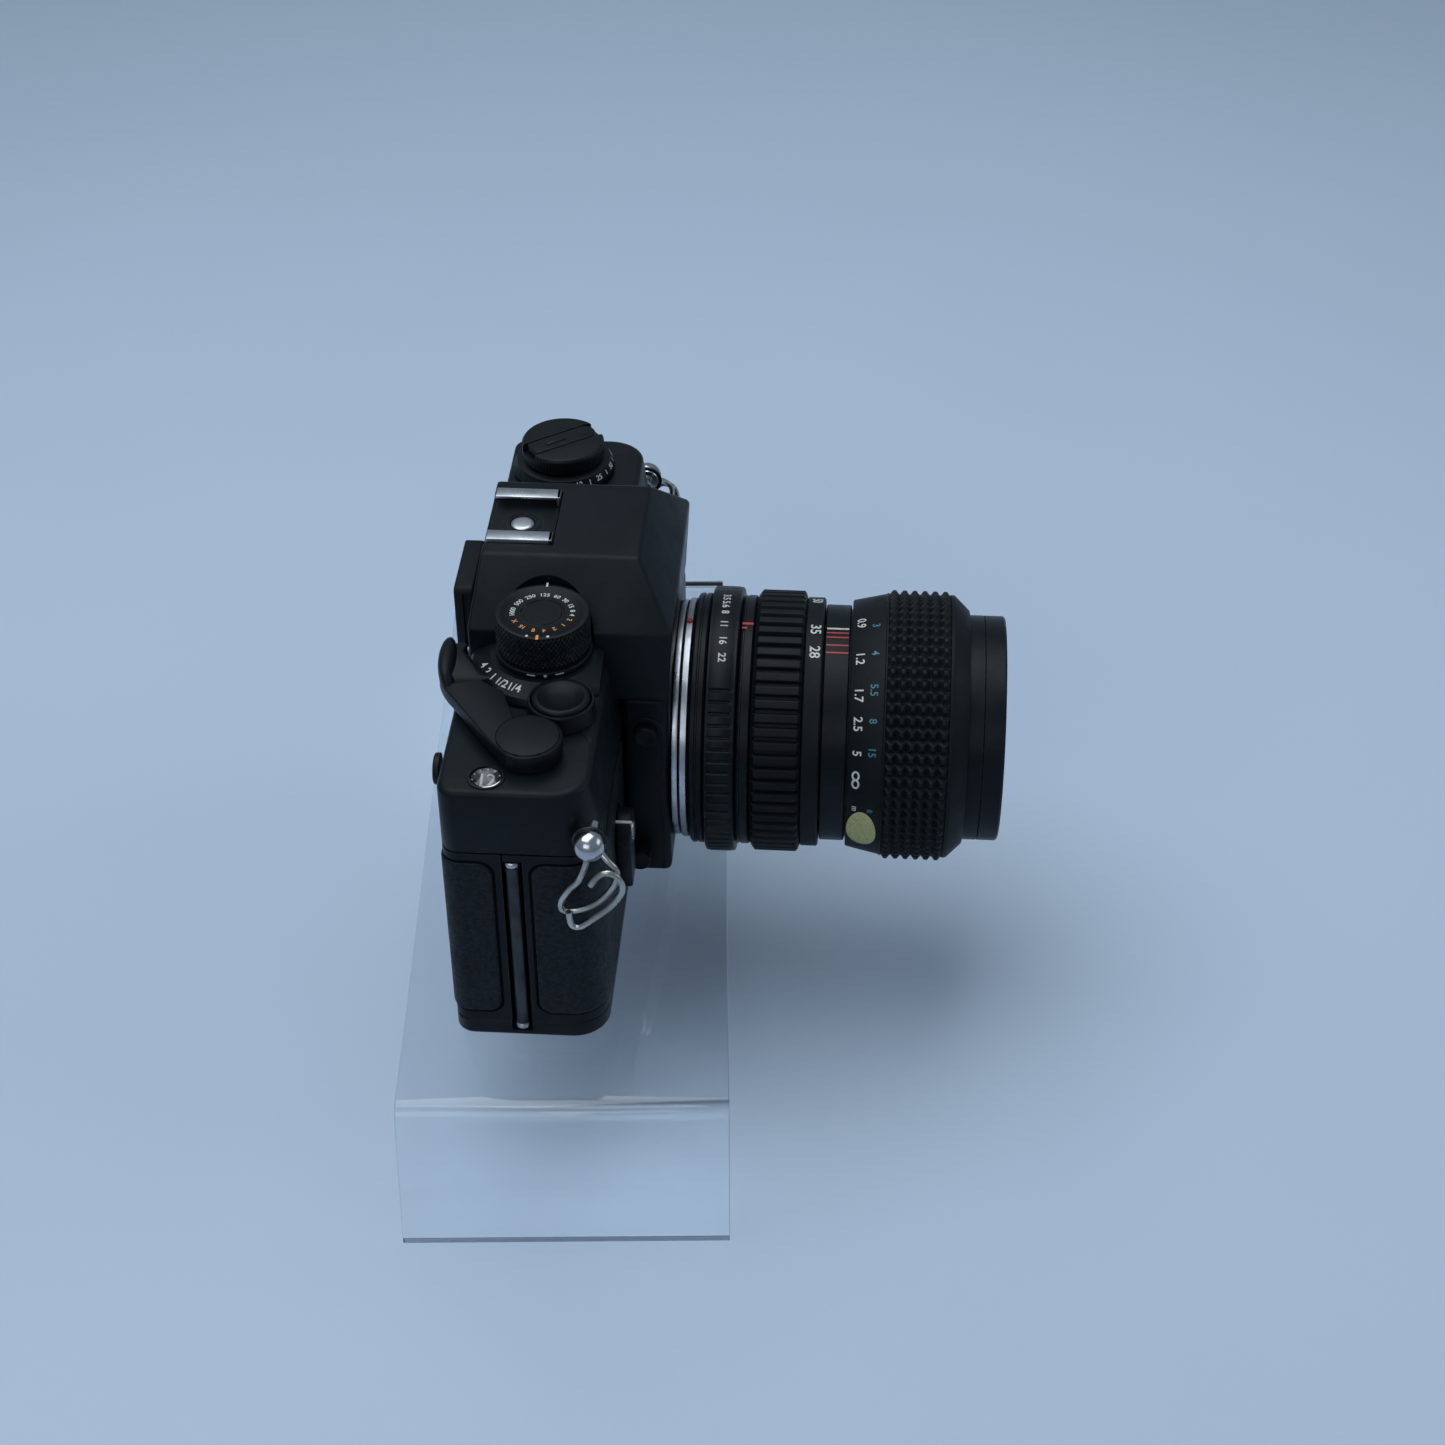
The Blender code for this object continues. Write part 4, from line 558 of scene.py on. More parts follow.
def coated(name, colour, lighter, roughness, grain, depth, wear=0.0, dust=0.0, **sockets):
    """Paint, moulded plastic or rubber: shade variation, dust, uneven gloss, grain and worn edges.

    grain is the texture's scale per metre and depth its height in metres.
    """
    material, tree, shader, place = new_material(name, colour, roughness, **sockets)
    cloud = ramp(tree, noise(tree, place, 55.0, 4.0), 0.35, 0.7, 0.0, 1.0)
    shade = blend_colours(tree, cloud, colour, lighter)
    if dust:
        speck = ramp(tree, noise(tree, place, 2600.0, 2.0, 0.7), 0.70, 0.80, 0.0, dust)
        shade = blend_colours(tree, speck, shade, (0.20, 0.22, 0.24))
    if wear:
        mask = edge_mask(tree, place, 0.00045, wear)
        shade = blend_colours(tree, mask, shade, (0.075, 0.085, 0.092))
    tree.links.new(shade, shader.inputs["Base Color"])
    gloss = ramp(tree, noise(tree, place, 170.0, 5.0), 0.3, 0.75, roughness - 0.07,
                 roughness + 0.10)
    tree.links.new(gloss, shader.inputs["Roughness"])
    relief = noise(tree, place, grain, 3.0)
    bump = add(tree, "Bump", {"Height": relief, "Strength": 0.6, "Distance": depth})
    tree.links.new(bump.outputs["Normal"], shader.inputs["Normal"])
    return material


def leather(name):
    """Fine leatherette: rounded cells with creases between them, over a soft undulation, with
    painted shade darkening the creases.
    """
    material, tree, shader, place = new_material(name, (0.004, 0.007, 0.009), 0.5,
                                                 Specular_IOR_Level=0.15)
    cells = add(tree, "TexVoronoi", {"Vector": place, "Scale": 1150.0, "Randomness": 0.9},
                feature="SMOOTH_F1").outputs["Distance"]
    folds = noise(tree, place, 420.0, 4.0)
    height = add(tree, "Math", {0: cells, 1: 0.55}, operation="MULTIPLY").outputs[0]
    height = add(tree, "Math", {0: folds, 1: height}, operation="SUBTRACT").outputs[0]
    # Painted shade: the colour goes darker from the cell tops into the creases between the cells.
    shade = blend_colours(tree, ramp(tree, cells, 0.2, 0.7, 0.0, 1.0), (0.0065, 0.0115, 0.0150),
                          (0.0020, 0.0038, 0.0052))
    tree.links.new(shade, shader.inputs["Base Color"])
    tree.links.new(ramp(tree, height, -0.2, 0.5, 0.62, 0.42), shader.inputs["Roughness"])
    bump = add(tree, "Bump", {"Height": height, "Strength": 0.75, "Distance": 0.00022})
    tree.links.new(bump.outputs["Normal"], shader.inputs["Normal"])
    return material


def metal(name, colour, darker, roughness, brush=(1.0, 1.0, 1.0), scale=900.0, depth=0.00001):
    """Plated or bare metal with fine brushing, dull patches and small pits."""
    material, tree, shader, place = new_material(name, colour, roughness, Metallic=1.0)
    mapped = add(tree, "Mapping", {"Vector": place, "Scale": brush}).outputs["Vector"]
    lines = noise(tree, mapped, scale, 4.0, 0.65)
    patches = noise(tree, place, 130.0, 5.0)
    shade = blend_colours(tree, ramp(tree, patches, 0.4, 0.72, 0.0, 1.0), colour, darker)
    tree.links.new(shade, shader.inputs["Base Color"])
    tree.links.new(ramp(tree, patches, 0.3, 0.75, roughness - 0.06, roughness + 0.16),
                   shader.inputs["Roughness"])
    bump = add(tree, "Bump", {"Height": lines, "Strength": 0.5, "Distance": depth})
    tree.links.new(bump.outputs["Normal"], shader.inputs["Normal"])
    return material


def marking(name, colour):
    """Filled-in paint, slightly uneven and chalky."""
    material, tree, shader, place = new_material(name, colour, 0.55)
    dull = tuple(channel * 0.72 for channel in colour)
    share = ramp(tree, noise(tree, place, 1500.0, 3.0), 0.42, 0.65, 0.0, 1.0)
    tree.links.new(blend_colours(tree, share, colour, dull), shader.inputs["Base Color"])
    bump = add(tree, "Bump", {"Height": noise(tree, place, 6000.0), "Strength": 0.3,
                              "Distance": 0.00002})
    tree.links.new(bump.outputs["Normal"], shader.inputs["Normal"])
    return material


def clear(name, colour, roughness, ior, smudge=0.03, **sockets):
    """Glass or acrylic with faint smudges and a very slight surface ripple."""
    material, tree, shader, place = new_material(name, colour, roughness, IOR=ior,
                                                 Transmission_Weight=1.0, **sockets)
    haze = ramp(tree, noise(tree, place, 60.0, 5.0), 0.45, 0.75, roughness, roughness + smudge)
    tree.links.new(haze, shader.inputs["Roughness"])
    bump = add(tree, "Bump", {"Height": noise(tree, place, 35.0, 2.0), "Strength": 0.05,
                              "Distance": 0.0001})
    tree.links.new(bump.outputs["Normal"], shader.inputs["Normal"])
    return material


def let_light_through(material, tint):
    """Light passes straight through to what lies beneath, only slightly dimmed."""
    tree = material.node_tree
    shader = tree.nodes["Principled BSDF"]
    output = tree.nodes["Material Output"]
    ray = tree.nodes.new("ShaderNodeLightPath").outputs["Is Shadow Ray"]
    open_to = add(tree, "BsdfTransparent", {"Color": (*tint, 1.0)}).outputs[0]
    mixed = add(tree, "MixShader", {0: ray, 1: shader.outputs[0], 2: open_to})
    tree.links.new(mixed.outputs[0], output.inputs["Surface"])
    return material


BLACK_PAINT = coated("black_satin_paint", (0.0030, 0.0058, 0.0078), (0.0058, 0.0092, 0.0118), 0.36,
                     5200.0, 0.00006, wear=0.30, dust=0.10, Specular_IOR_Level=0.11)
CONTROL = coated("black_control", (0.0030, 0.0050, 0.0068), (0.0058, 0.0085, 0.0108), 0.38,
                 4200.0, 0.00005, wear=0.38, dust=0.15, Specular_IOR_Level=0.13)
LENS_BLACK = coated("black_anodised", (0.0030, 0.0050, 0.0072), (0.0060, 0.0088, 0.0115), 0.34,
                    7000.0, 0.00003, wear=0.30, dust=0.10, Specular_IOR_Level=0.12)
RUBBER = coated("grip_rubber", (0.0030, 0.0048, 0.0065), (0.0055, 0.0080, 0.0102), 0.48, 3000.0,
                0.00008, dust=0.2, Specular_IOR_Level=0.13)
INNER = coated("inner_matt_black", (0.006, 0.007, 0.008), (0.012, 0.013, 0.015), 0.7, 2500.0,
               0.00008, dust=0.2, Specular_IOR_Level=0.2)
LEATHER = leather("leatherette")
# Painted shade: a near-black finish for the thin sheet that edges each leatherette panel, standing
# for the shadow in its groove.
PAINTED_GROOVE_SHADE = coated("groove_shadow", (0.0012, 0.0018, 0.0024), (0.0020, 0.0028, 0.0036), 0.8, 2500.0,
                0.00005, dust=0.05, Specular_IOR_Level=0.04)
CHROME = metal("chrome", (0.52, 0.54, 0.56), (0.30, 0.31, 0.33), 0.18)
BRUSHED = metal("satin_chrome", (0.46, 0.49, 0.52), (0.30, 0.32, 0.35), 0.28, (1.0, 1.0, 14.0),
                700.0, 0.00003)
STEEL = metal("steel_wire", (0.46, 0.46, 0.44), (0.26, 0.25, 0.23), 0.22, scale=1600.0)
DARK_METAL = metal("dark_metal", (0.06, 0.065, 0.072), (0.03, 0.033, 0.036), 0.38)
MIRROR = metal("mirror", (0.93, 0.94, 0.95), (0.86, 0.88, 0.90), 0.08, depth=0.000002)
WHITE = marking("white_fill", (0.52, 0.55, 0.54))
ORANGE = marking("orange_fill", (0.75, 0.27, 0.05))
RED = marking("red_fill", (0.42, 0.025, 0.025))
TEAL = marking("teal_fill", (0.03, 0.17, 0.23))
GOLD = marking("gold_label", (0.42, 0.41, 0.17))
GLASS = clear("coated_glass", (0.88, 0.92, 1.0), 0.01, 1.52, 0.02)
PLAIN_GLASS = clear("window_glass", (0.92, 0.95, 0.98), 0.04, 1.5)
ACRYLIC = let_light_through(clear("clear_acrylic", (0.97, 0.985, 1.0), 0.0, 1.49, 0.012),
                            (0.90, 0.92, 0.94))


# The riser ---------------------------------------------------------------------------------

def make_riser():
    """A bent acrylic sheet with polished, slightly rounded edges."""
    low, high = span("acrylic_riser")
    length, width, height, sheet = 205.0, 75.0, high.z - low.z, 3.0
    splay, bend, yaw = 7.8, 5.0, math.radians(4.09)
    half = length / 2
    foot = half + splay
    lean = math.atan2(splay, height)
    across = sheet / math.cos(lean)
    inner_half = half - across + sheet * math.tan(lean)
    corners = [(-foot, 0.0), (-foot + across, 0.0), (-inner_half, height - sheet),
               (inner_half, height - sheet), (foot - across, 0.0), (foot, 0.0),
               (half, height), (-half, height)]
    outline = rounded(corners, [0, 0, bend - sheet, bend - sheet, 0, 0, bend, bend], steps=14)
    centre = (low + high) / 2
    place = Matrix.Translation((centre.x, centre.y, low.z)) @ Matrix.Rotation(yaw, 4, "Z")
    place = place @ Matrix.Rotation(math.pi / 2, 4, "X")
    riser = slab(outline, -width / 2, width / 2, place, edge=0.35, segments=2)
    piece("riser_sheet", [riser], "riser", "clear_acrylic", ACRYLIC, "acrylic_riser")


# The body ----------------------------------------------------------------------------------

def body_outline(front, back, inset=0.0):
    """Plan of the body between its two ends."""
    corners = [(WIND_END + inset, front + inset), (REWIND_END - inset, front + inset),
               (REWIND_END - inset, back - inset), (WIND_END + inset, back - inset)]
    return rounded(corners, [BODY_CORNER, BODY_CORNER, BACK_CORNER, BACK_CORNER])


def level(outline, height):
    return [(x, y, height) for x, y in outline]


def cross(half, front, back, height):
    return [(-half, front, height), (half, front, height), (half, back, height),
            (-half, back, height)]


def drill(at, axis, radius, low, high, steps):
    """A round cutter between two heights along an axis."""
    return turned([(0, high), (radius, high), (radius, low), (0, low)], at, axis, steps)


def post(node, clearance, low, high, radius=None):
    """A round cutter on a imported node's upright axis."""
    x, y, _, _, own = upright(node)
    return drill((x, y, 0.0), "Z", (radius or own) + clearance, low, high, 48)


def deck_front(height):
    """The cover's front slopes back from the seam to the deck."""
    return BODY_FRONT + (DECK_FRONT - BODY_FRONT) * (height - TOP_SEAM_Z) / (DECK_Z - TOP_SEAM_Z)


def make_top_cover():
    """The deck and the faceted prism housing, with a rounded top edge and open shaft holes."""
    sections = [level(body_outline(BODY_FRONT, BODY_BACK, 0.35), TOP_SEAM_Z),
                level(body_outline(BODY_FRONT, BODY_BACK, 0.08), TOP_SEAM_Z + 0.12),
                level(body_outline(BODY_FRONT, BODY_BACK), TOP_SEAM_Z + 0.4)]
    for degrees in range(0, 91, 15):
        a = math.radians(degrees)
        height = DECK_Z - DECK_ROUNDING * (1 - math.sin(a))
        inset = DECK_ROUNDING * (1 - math.cos(a))
        sections.append(level(body_outline(deck_front(height), BODY_BACK, inset), height))
    cover = loft(sections)
    foot_z = PLATE_HIGH.z + 0.3
    hump = soften(loft([
        cross(WAIST_HALF, PLATE_LOW.y, WAIST_BACK, foot_z),
        cross(WAIST_HALF, COVER_LOW.y, WAIST_BACK, WAIST_Z),
        cross(PRISM_TOP_HALF, PRISM_TOP_FRONT, PRISM_TOP_BACK, COVER_HIGH.z),
    ]), 0.75, 4, 15.0)
    combine(cover, [hump], "UNION")
    dial_x, _, _, _, ring_radius = upright("compensation_ring")
    pocket = ring_radius + 0.6
    hollow_half = -(dial_x + pocket) - 1.6
    hollow = loft([
        cross(hollow_half, BODY_FRONT - 2, WAIST_BACK - 3, TOP_SEAM_Z - 2),
        cross(hollow_half, COVER_LOW.y + 4, WAIST_BACK - 3, WAIST_Z - 1.6),
        cross(PRISM_TOP_HALF - 4, PRISM_TOP_FRONT + 3, PRISM_TOP_BACK - 3, COVER_HIGH.z - 3.2),
    ])
    side = WAIST_HALF + 1.6
    rooms = [
        block((WIND_END + BODY_CORNER, DECK_FRONT + 3, TOP_SEAM_Z - 2),
              (-side, BODY_BACK - 3, DECK_Z - 1.6)),
        block((side, DECK_FRONT + 3, TOP_SEAM_Z - 2),
              (REWIND_END - 4, BODY_BACK - 3, DECK_Z - 1.6)),
    ]
    shoe_low, shoe_high = span("accessory_shoe")
    recess = block((shoe_low.x - 0.3, shoe_low.y - 0.3, shoe_low.z - 0.3),
                   (shoe_high.x + 0.3, BODY_BACK + 3, COVER_HIGH.z + 4))
    eye_low, eye_high = span("eyepiece_lens")
    tunnel = block((eye_low.x - 0.3, PRISM_TOP_BACK - 10, eye_low.z - 0.3),
                   (eye_high.x + 0.3, BODY_BACK + 9, eye_high.z + 0.3))
    cut(cover, hollow, *rooms, recess, tunnel,
        post("compensation_ring", 0.3, span("dial_base")[1].z, DECK_Z + 30),
        post("wind_lever_cap", CLEARANCE, 10, DECK_Z + 9, radius=SHAFT_RADIUS),
        post("shutter_dial", CLEARANCE, 10, DECK_Z + 9, radius=2.5),
        post("release_button", CLEARANCE, 10, DECK_Z + 9, radius=1.5),
        post("rewind_knob", CLEARANCE, 10, DECK_Z + 9, radius=SHAFT_RADIUS),
        post("counter_window", 0.3, 10, DECK_Z + 9))
    button = middle("back_button")
    back_hole = drill((button.x, BODY_BACK, button.z), "BACK", PIN_HOLE_RADIUS, -6, 3, 32)
    cut(cover, back_hole)
    piece("top_cover_shell", [cover], "camera", "black_cover", BLACK_PAINT, "top_cover",
          sharp=28.0)


def make_deck_details():
    """Raised deck plate round the controls, and the counter window with its bezel."""
    hub_x, hub_y = upright("wind_lever_cap")[:2]
    dial_x = upright("shutter_dial")[0]
    step = [(hub_x + 13.5 * math.cos(math.radians(a)), hub_y + 13.5 * math.sin(math.radians(a)))
            for a in range(-82, 61, 8)]
    outline = [(p[0], max(p[1], DECK_FRONT + 1.3)) for p in step]
    outline += [(dial_x + 1.0, BODY_BACK - 1.6), (dial_x + 1.0, DECK_FRONT + 1.3)]
    deck = slab(outline, DECK_Z - 0.2, DECK_Z + 0.22)
    cut(deck, post("dial_base", 0.0, DECK_Z - 3, DECK_Z + 3, radius=3.0),
        post("release_button", 0.2, DECK_Z - 3, DECK_Z + 3, radius=1.7))
    piece("raised_deck_plate", [deck], "camera", "black_cover", BLACK_PAINT)
    x, y, _, high, radius = upright("counter_window")
    bezel = turned(ring_profile(radius + 0.75, radius + 0.1, DECK_Z - 0.2, high + 0.1, 0.2),
                   (x, y, 0), steps=64)
    piece("counter_bezel", [bezel], "camera", "black_cover", CONTROL)
    dome = [(0, high + 0.65), (1.2, high + 0.58), (2.3, high + 0.3), (radius - 0.15, high - 0.1),
            (radius - 0.1, DECK_Z - 0.5), (0, DECK_Z - 0.5)]
    window = turned(dome, (x, y, 0), steps=64)
    piece("counter_dome", [window], "camera", "glass", PLAIN_GLASS, "counter_window")
    wheel = turned(ring_profile(radius - 0.25, 0.6, DECK_Z - 1.9, DECK_Z - 0.9, 0.1), (x, y, 0))
    piece("counter_wheel", [wheel], "frame_counter", "black_control", CONTROL, "frame_counter")
    ticks = [stroke(0.22, 0.5, on_disc(x, y, DECK_Z - 0.88, a, 2.8)) for a in range(0, 360, 30)]
    number = lettering("12", 2.5, lambda u, v, lift: (x + v, y - u, DECK_Z - 0.88 + lift))
    piece("counter_number", ticks + [number], "frame_counter", None, WHITE)


def wall_path(kind, grow=0.0):
    """Level paths along the body's walls for the leatherette: wind front, rewind front, back."""
    outline = [tuple(p) for p in body_outline(BODY_FRONT, BODY_BACK)]
    count = CORNER_STEPS + 1
    wind_front, rewind_front = outline[:count], outline[count:2 * count]
    rewind_back, wind_back = outline[2 * count:3 * count], outline[3 * count:]
    rod = middle("hinge_rod")
    half = PLATE_HIGH.x + 2.6
    if kind == "wind":
        return [(WIND_END, rod.y - 4.3 + grow)] + wind_front + [(-half + grow, BODY_FRONT)]
    if kind == "rewind":
        return [(half - grow, BODY_FRONT)] + rewind_front + [(REWIND_END, DOOR_LOW.y + 4.6 + grow)]
    return [(REWIND_END, DOOR_LOW.y + 9.0 - grow)] + rewind_back + wind_back + [
        (WIND_END, rod.y + 4.4 - grow)]


def make_casting():
    """The body casting with its chambers, and its leatherette at the front and both ends."""
    step_y, latch_y, plane = CASTING_HIGH.y, DOOR_LATCH_Y - 0.3, FILM_PLANE_Y
    door_step = DOOR_LOW.y - 0.3
    low, high = CASTING_LOW.z, CASTING_HIGH.z
    rear_wind = WIND_END + DOOR_END_WALL + 0.3
    rear_rewind = REWIND_END - DOOR_LATCH_WALL - 0.6
    corners = [(WIND_END, BODY_FRONT), (REWIND_END, BODY_FRONT), (REWIND_END, latch_y),
               (rear_rewind, latch_y), (rear_rewind, step_y), (rear_wind, step_y),
               (rear_wind, door_step), (WIND_END, door_step)]
    outline = rounded(corners, [BODY_CORNER, BODY_CORNER, 0, 0, 0, 0, 0, 0])
    casting = slab(outline, low, high)
    knob_x, knob_y = upright("rewind_knob")[:2]
    sprocket_x, sprocket_y, _, _, sprocket = upright("film_sprocket")
    well_low = -27.5
    room = CHAMBER_HALF
    cut(casting,
        block((rear_wind + 3.4, BODY_FRONT + 4.6, low + 3),
              (sprocket_x - sprocket - 1.4, BODY_BACK, high - 3)),
        block((sprocket_x - sprocket - 2, sprocket_y - 7, -19.0), (-room - 1.5, BODY_BACK, 18.4)),
        block((knob_x - 12.6, knob_y - 12.6, low + 3), (REWIND_END - 3.2, BODY_BACK, high - 3)),
        block((sprocket_x - 4, plane - 1, -17.6), (knob_x - 10, BODY_BACK, 17.6)))
    rails = block((-20.2, plane - 2, -14.0), (20.2, plane - 0.01, 14.0))
    combine(casting, [rails], "UNION")
    cut(casting,
        block((-room, BODY_FRONT - 5, CHAMBER_LOW_Z), (room, 34.4, CHAMBER_TOP_Z)),
        block((-room, 30.6, well_low), (room, 34.4, 0.0)),
        block((-18, 32, -12), (18, plane + 2, 12)),
        block((-18.4, BODY_FRONT + 1.6, 10.0), (18.4, 27.4, high + 3)),
        post("hinge_rod", 1.05, low - 3, span("hinge_rod")[1].z + 0.6),
        post("rewind_knob", CLEARANCE, 10, DECK_Z, radius=SHAFT_RADIUS),
        post("rewind_unlock_button", CLEARANCE, low - 2, low + 2.4, radius=1.5))
    timer = middle("self_timer_lever")
    boss_at = (timer.x, BODY_FRONT, timer_axis_z())
    cut(casting, drill(boss_at, "LENS", PIN_HOLE_RADIUS, -3.6, 2, 32))
    piece("casting_shell", [casting], "camera", "leatherette_casting", BLACK_PAINT,
          "body_casting", sharp=30.0)
    covering("leatherette_wind", "leatherette_groove_wind", "wind", "camera", low, high, boss_at)
    covering("leatherette_rewind", "leatherette_groove_rewind", "rewind", "camera", low, high)


def covering(name, groove_name, kind, body, low, high, boss_at=None):
    """Leatherette between two heights, edged by a thin dark sheet of painted shade for its groove,
    left open round a lever's boss.
    """
    for called, grow, corner, proud, slot, finish in (
            (name, 0.0, 3.2, 0.42, "leatherette", LEATHER),
            (groove_name, 0.75, 3.9, 0.07, "leatherette_casting", PAINTED_GROOVE_SHADE)):
        panel = wrapped_panel(wall_path(kind, grow), low + 3.0 - grow, high - 2.6 + grow, corner,
                              proud, 1)
        if boss_at:
            cut(panel, drill(boss_at, "LENS", TIMER_BOSS_RADIUS + 1, -4, 4, 64))
        piece(called, [panel], body, slot, finish)


def timer_axis_z():
    """Height of the self-timer's axis: its boss is at the top of the lever."""
    return span("self_timer_lever")[1].z - TIMER_BOSS_RADIUS


def make_base_cover():
    """The bottom cover with a rounded lower edge and its wells."""
    low, high, edge = BASE_Z, BASE_SEAM_Z, 1.2
    sections = []
    for degrees in range(0, 91, 15):
        a = math.radians(degrees)
        sections.append(level(body_outline(BODY_FRONT, BODY_BACK, edge * (1 - math.sin(a))),
                              low + edge * (1 - math.cos(a))))
    sections.append(level(body_outline(BODY_FRONT, BODY_BACK), high - 0.3))
    sections.append(level(body_outline(BODY_FRONT, BODY_BACK, 0.25), high))
    cover = loft(sections)
    cut(cover, post("tripod_bush", 0.3, low - 2, high + 2),
        post("battery_lid", 0.3, low - 2, low + 2.6),
        post("rewind_unlock_button", 0.3, low - 2, low + 3.4),
        post("rewind_unlock_button", CLEARANCE, low - 2, high + 2, radius=1.5),
        post("hinge_rod", 1.05, span("hinge_rod")[0].z - 0.6, high + 2))
    piece("base_cover_shell", [cover], "camera", "black_cover", BLACK_PAINT, "base_cover",
          sharp=30.0)
    x, y, foot, top, radius = upright("tripod_bush")
    threads = [(radius, top), (radius, foot + 0.3), (radius - 0.3, foot)]
    depth, pitch = 3.25, 1.27
    count = int((top - foot - 0.5) / pitch)
    for turn in range(count):
        height = foot + 0.25 + turn * pitch
        threads += [(depth, height), (depth + 0.5, height + pitch / 2)]
    threads.append((depth, top))
    bush = turned(threads, (x, y, 0), steps=64)
    piece("tripod_bush_threaded", [bush], "camera", "steel", BRUSHED, "tripod_bush")
    x, y, foot, top, radius = upright("battery_lid")
    lid = turned(disc_profile(radius, foot, top, 0.25), (x, y, 0), steps=96,
                 shape=lambda a, r, h: r - 0.25 * (math.cos(40 * a) > 0.3) * (r > radius - 0.1))
    cut(lid, block((x - radius * 0.7, y - 0.8, foot - 1), (x + radius * 0.7, y + 0.8, foot + 0.8),
                   0.3))
    piece("battery_lid_coin_slot", [lid], "battery_lid", "dark_metal", CONTROL, "battery_lid")


def make_door():
    """The hinged back: a thin wrapped wall, its leatherette, and the rod with bright caps."""
    rod = middle("hinge_rod")
    hinge_wall, latch_wall = WIND_END + DOOR_END_WALL, REWIND_END - DOOR_LATCH_WALL
    corners = [(WIND_END, DOOR_LOW.y), (hinge_wall, DOOR_LOW.y),
               (hinge_wall, BODY_BACK - DOOR_WALL), (latch_wall, BODY_BACK - DOOR_WALL),
               (latch_wall, DOOR_LATCH_Y), (REWIND_END, DOOR_LATCH_Y), (REWIND_END, BODY_BACK),
               (WIND_END, BODY_BACK)]
    outline = rounded(corners, [0, 0, 0, 0, 0, 0, BACK_CORNER, BACK_CORNER])
    door = slab(outline, DOOR_LOW.z, DOOR_HIGH.z)
    piece("door_shell", [door], "back_door", "leatherette_casting", BLACK_PAINT, "back_door",
          sharp=30.0)
    covering("door_leatherette", "door_leatherette_groove", "back", "back_door", DOOR_LOW.z,
             DOOR_HIGH.z)
    low, high = span("hinge_rod")
    radius = (high.x - low.x) / 2
    rod_solid = turned(disc_profile(radius, low.z + 1.6, high.z - 1.4, 0.1), (rod.x, rod.y, 0),
                       steps=48)
    piece("hinge_rod_bar", [rod_solid], "back_door", "dark_metal", DARK_METAL, "hinge_rod")
    caps = [turned(disc_profile(radius + 0.12, a, b, 0.5), (rod.x, rod.y, 0), steps=48)
            for a, b in ((low.z, low.z + 1.55), (high.z - 1.35, high.z + 0.1))]
    piece("hinge_rod_caps", caps, "back_door", "chrome", CHROME)


def make_front_plate():
    """The lens-mount panel, with seam lines, button holes, the flange and one bezel."""
    rear = PLATE_REAR_Y
    panel = block(PLATE_LOW, (PLATE_HIGH.x, rear, PLATE_HIGH.z), 1.6, 4)
    throat = drill((0, 0, 0), "LENS", THROAT_RADIUS, -10, 10, 96)
    inner = block((-CHAMBER_HALF, -2.3, CHAMBER_LOW_Z), (CHAMBER_HALF, rear + 2, CHAMBER_TOP_Z))
    cut(panel, throat, inner)
    for node in ("preview_button", "lens_lock_button"):
        place = middle(node)
        cut(panel, drill((PLATE_LOW.x, place.y, place.z), "-X", PIN_HOLE_RADIUS, -4.5, 3, 32))
    groove = block((PLATE_LOW.x - 2, PLATE_LOW.y + 2.0, PLATE_LOW.z - 2),
                   (PLATE_LOW.x + 0.35, PLATE_LOW.y + 2.35, PLATE_HIGH.z + 2))
    cut(panel, groove)
    piece("front_plate_panel", [panel], "camera", "black_cover", BLACK_PAINT, "front_plate",
          sharp=30.0)
    rear_gap, front, radius = along_lens("camera_mount_flange")
    flange = turned(ring_profile(radius, THROAT_RADIUS, rear_gap, front, 0.25), axis="LENS",
                    steps=160)
    piece("mount_flange", [flange], "camera", "chrome", BRUSHED, "camera_mount_flange")
    place = middle("preview_button")
    bezel = turned(ring_profile(4.2, 3.1, -0.2, 0.35, 0.15), (PLATE_LOW.x, place.y, place.z), "-X",
                   48)
    piece("preview_bezel", [bezel], "camera", "black_control", CONTROL)


def push_button(name, node, body, at, axis, radius, head, dish, stem, shape=None):
    """A push button with a dished top, a rounded rim and a thin stem."""
    rim, skirt = 0.5, 1.3
    profile = dish + arc((radius - rim, head - rim), rim, 80, 0, 4)
    profile += [(radius, skirt), (PIN_RADIUS, skirt), (PIN_RADIUS, -stem), (0, -stem)]
    piece(name, [turned(profile, at, axis, 64, shape)], body, "black_control", CONTROL, node)


def make_side_buttons():
    """Preview and lens-lock buttons on the panel's side, the small one on the back."""
    for node, body, name in (("preview_button", "preview_button", "preview_cap"),
                             ("lens_lock_button", "lens_lock", "lens_lock_cap")):
        low, high = span(node)
        place = (low + high) / 2
        radius, head = (high.z - low.z) / 2, PLATE_LOW.x - low.x

        def notched(angle, reach, height):
            on_rim = reach > radius - 0.1 and height < head - 0.4
            return reach - 0.12 * (on_rim and math.cos(24 * angle) > 0.2)

        dish = [(0, head - 0.25), (radius * 0.55, head - 0.2), (radius - 0.55, head)]
        push_button(name, node, body, (PLATE_LOW.x, place.y, place.z), "-X", radius, head, dish,
                    2.4, notched)
    low, high = span("back_button")
    place = (low + high) / 2
    radius, head = (high.z - low.z) / 2, high.y - BODY_BACK
    dish = [(0, head - 0.3), (radius - 1.2, head - 0.2), (radius - 0.6, head)]
    push_button("back_button_cap", "back_button", "back_button", (place.x, BODY_BACK, place.z),
                "BACK", radius, head, dish, 3.6)


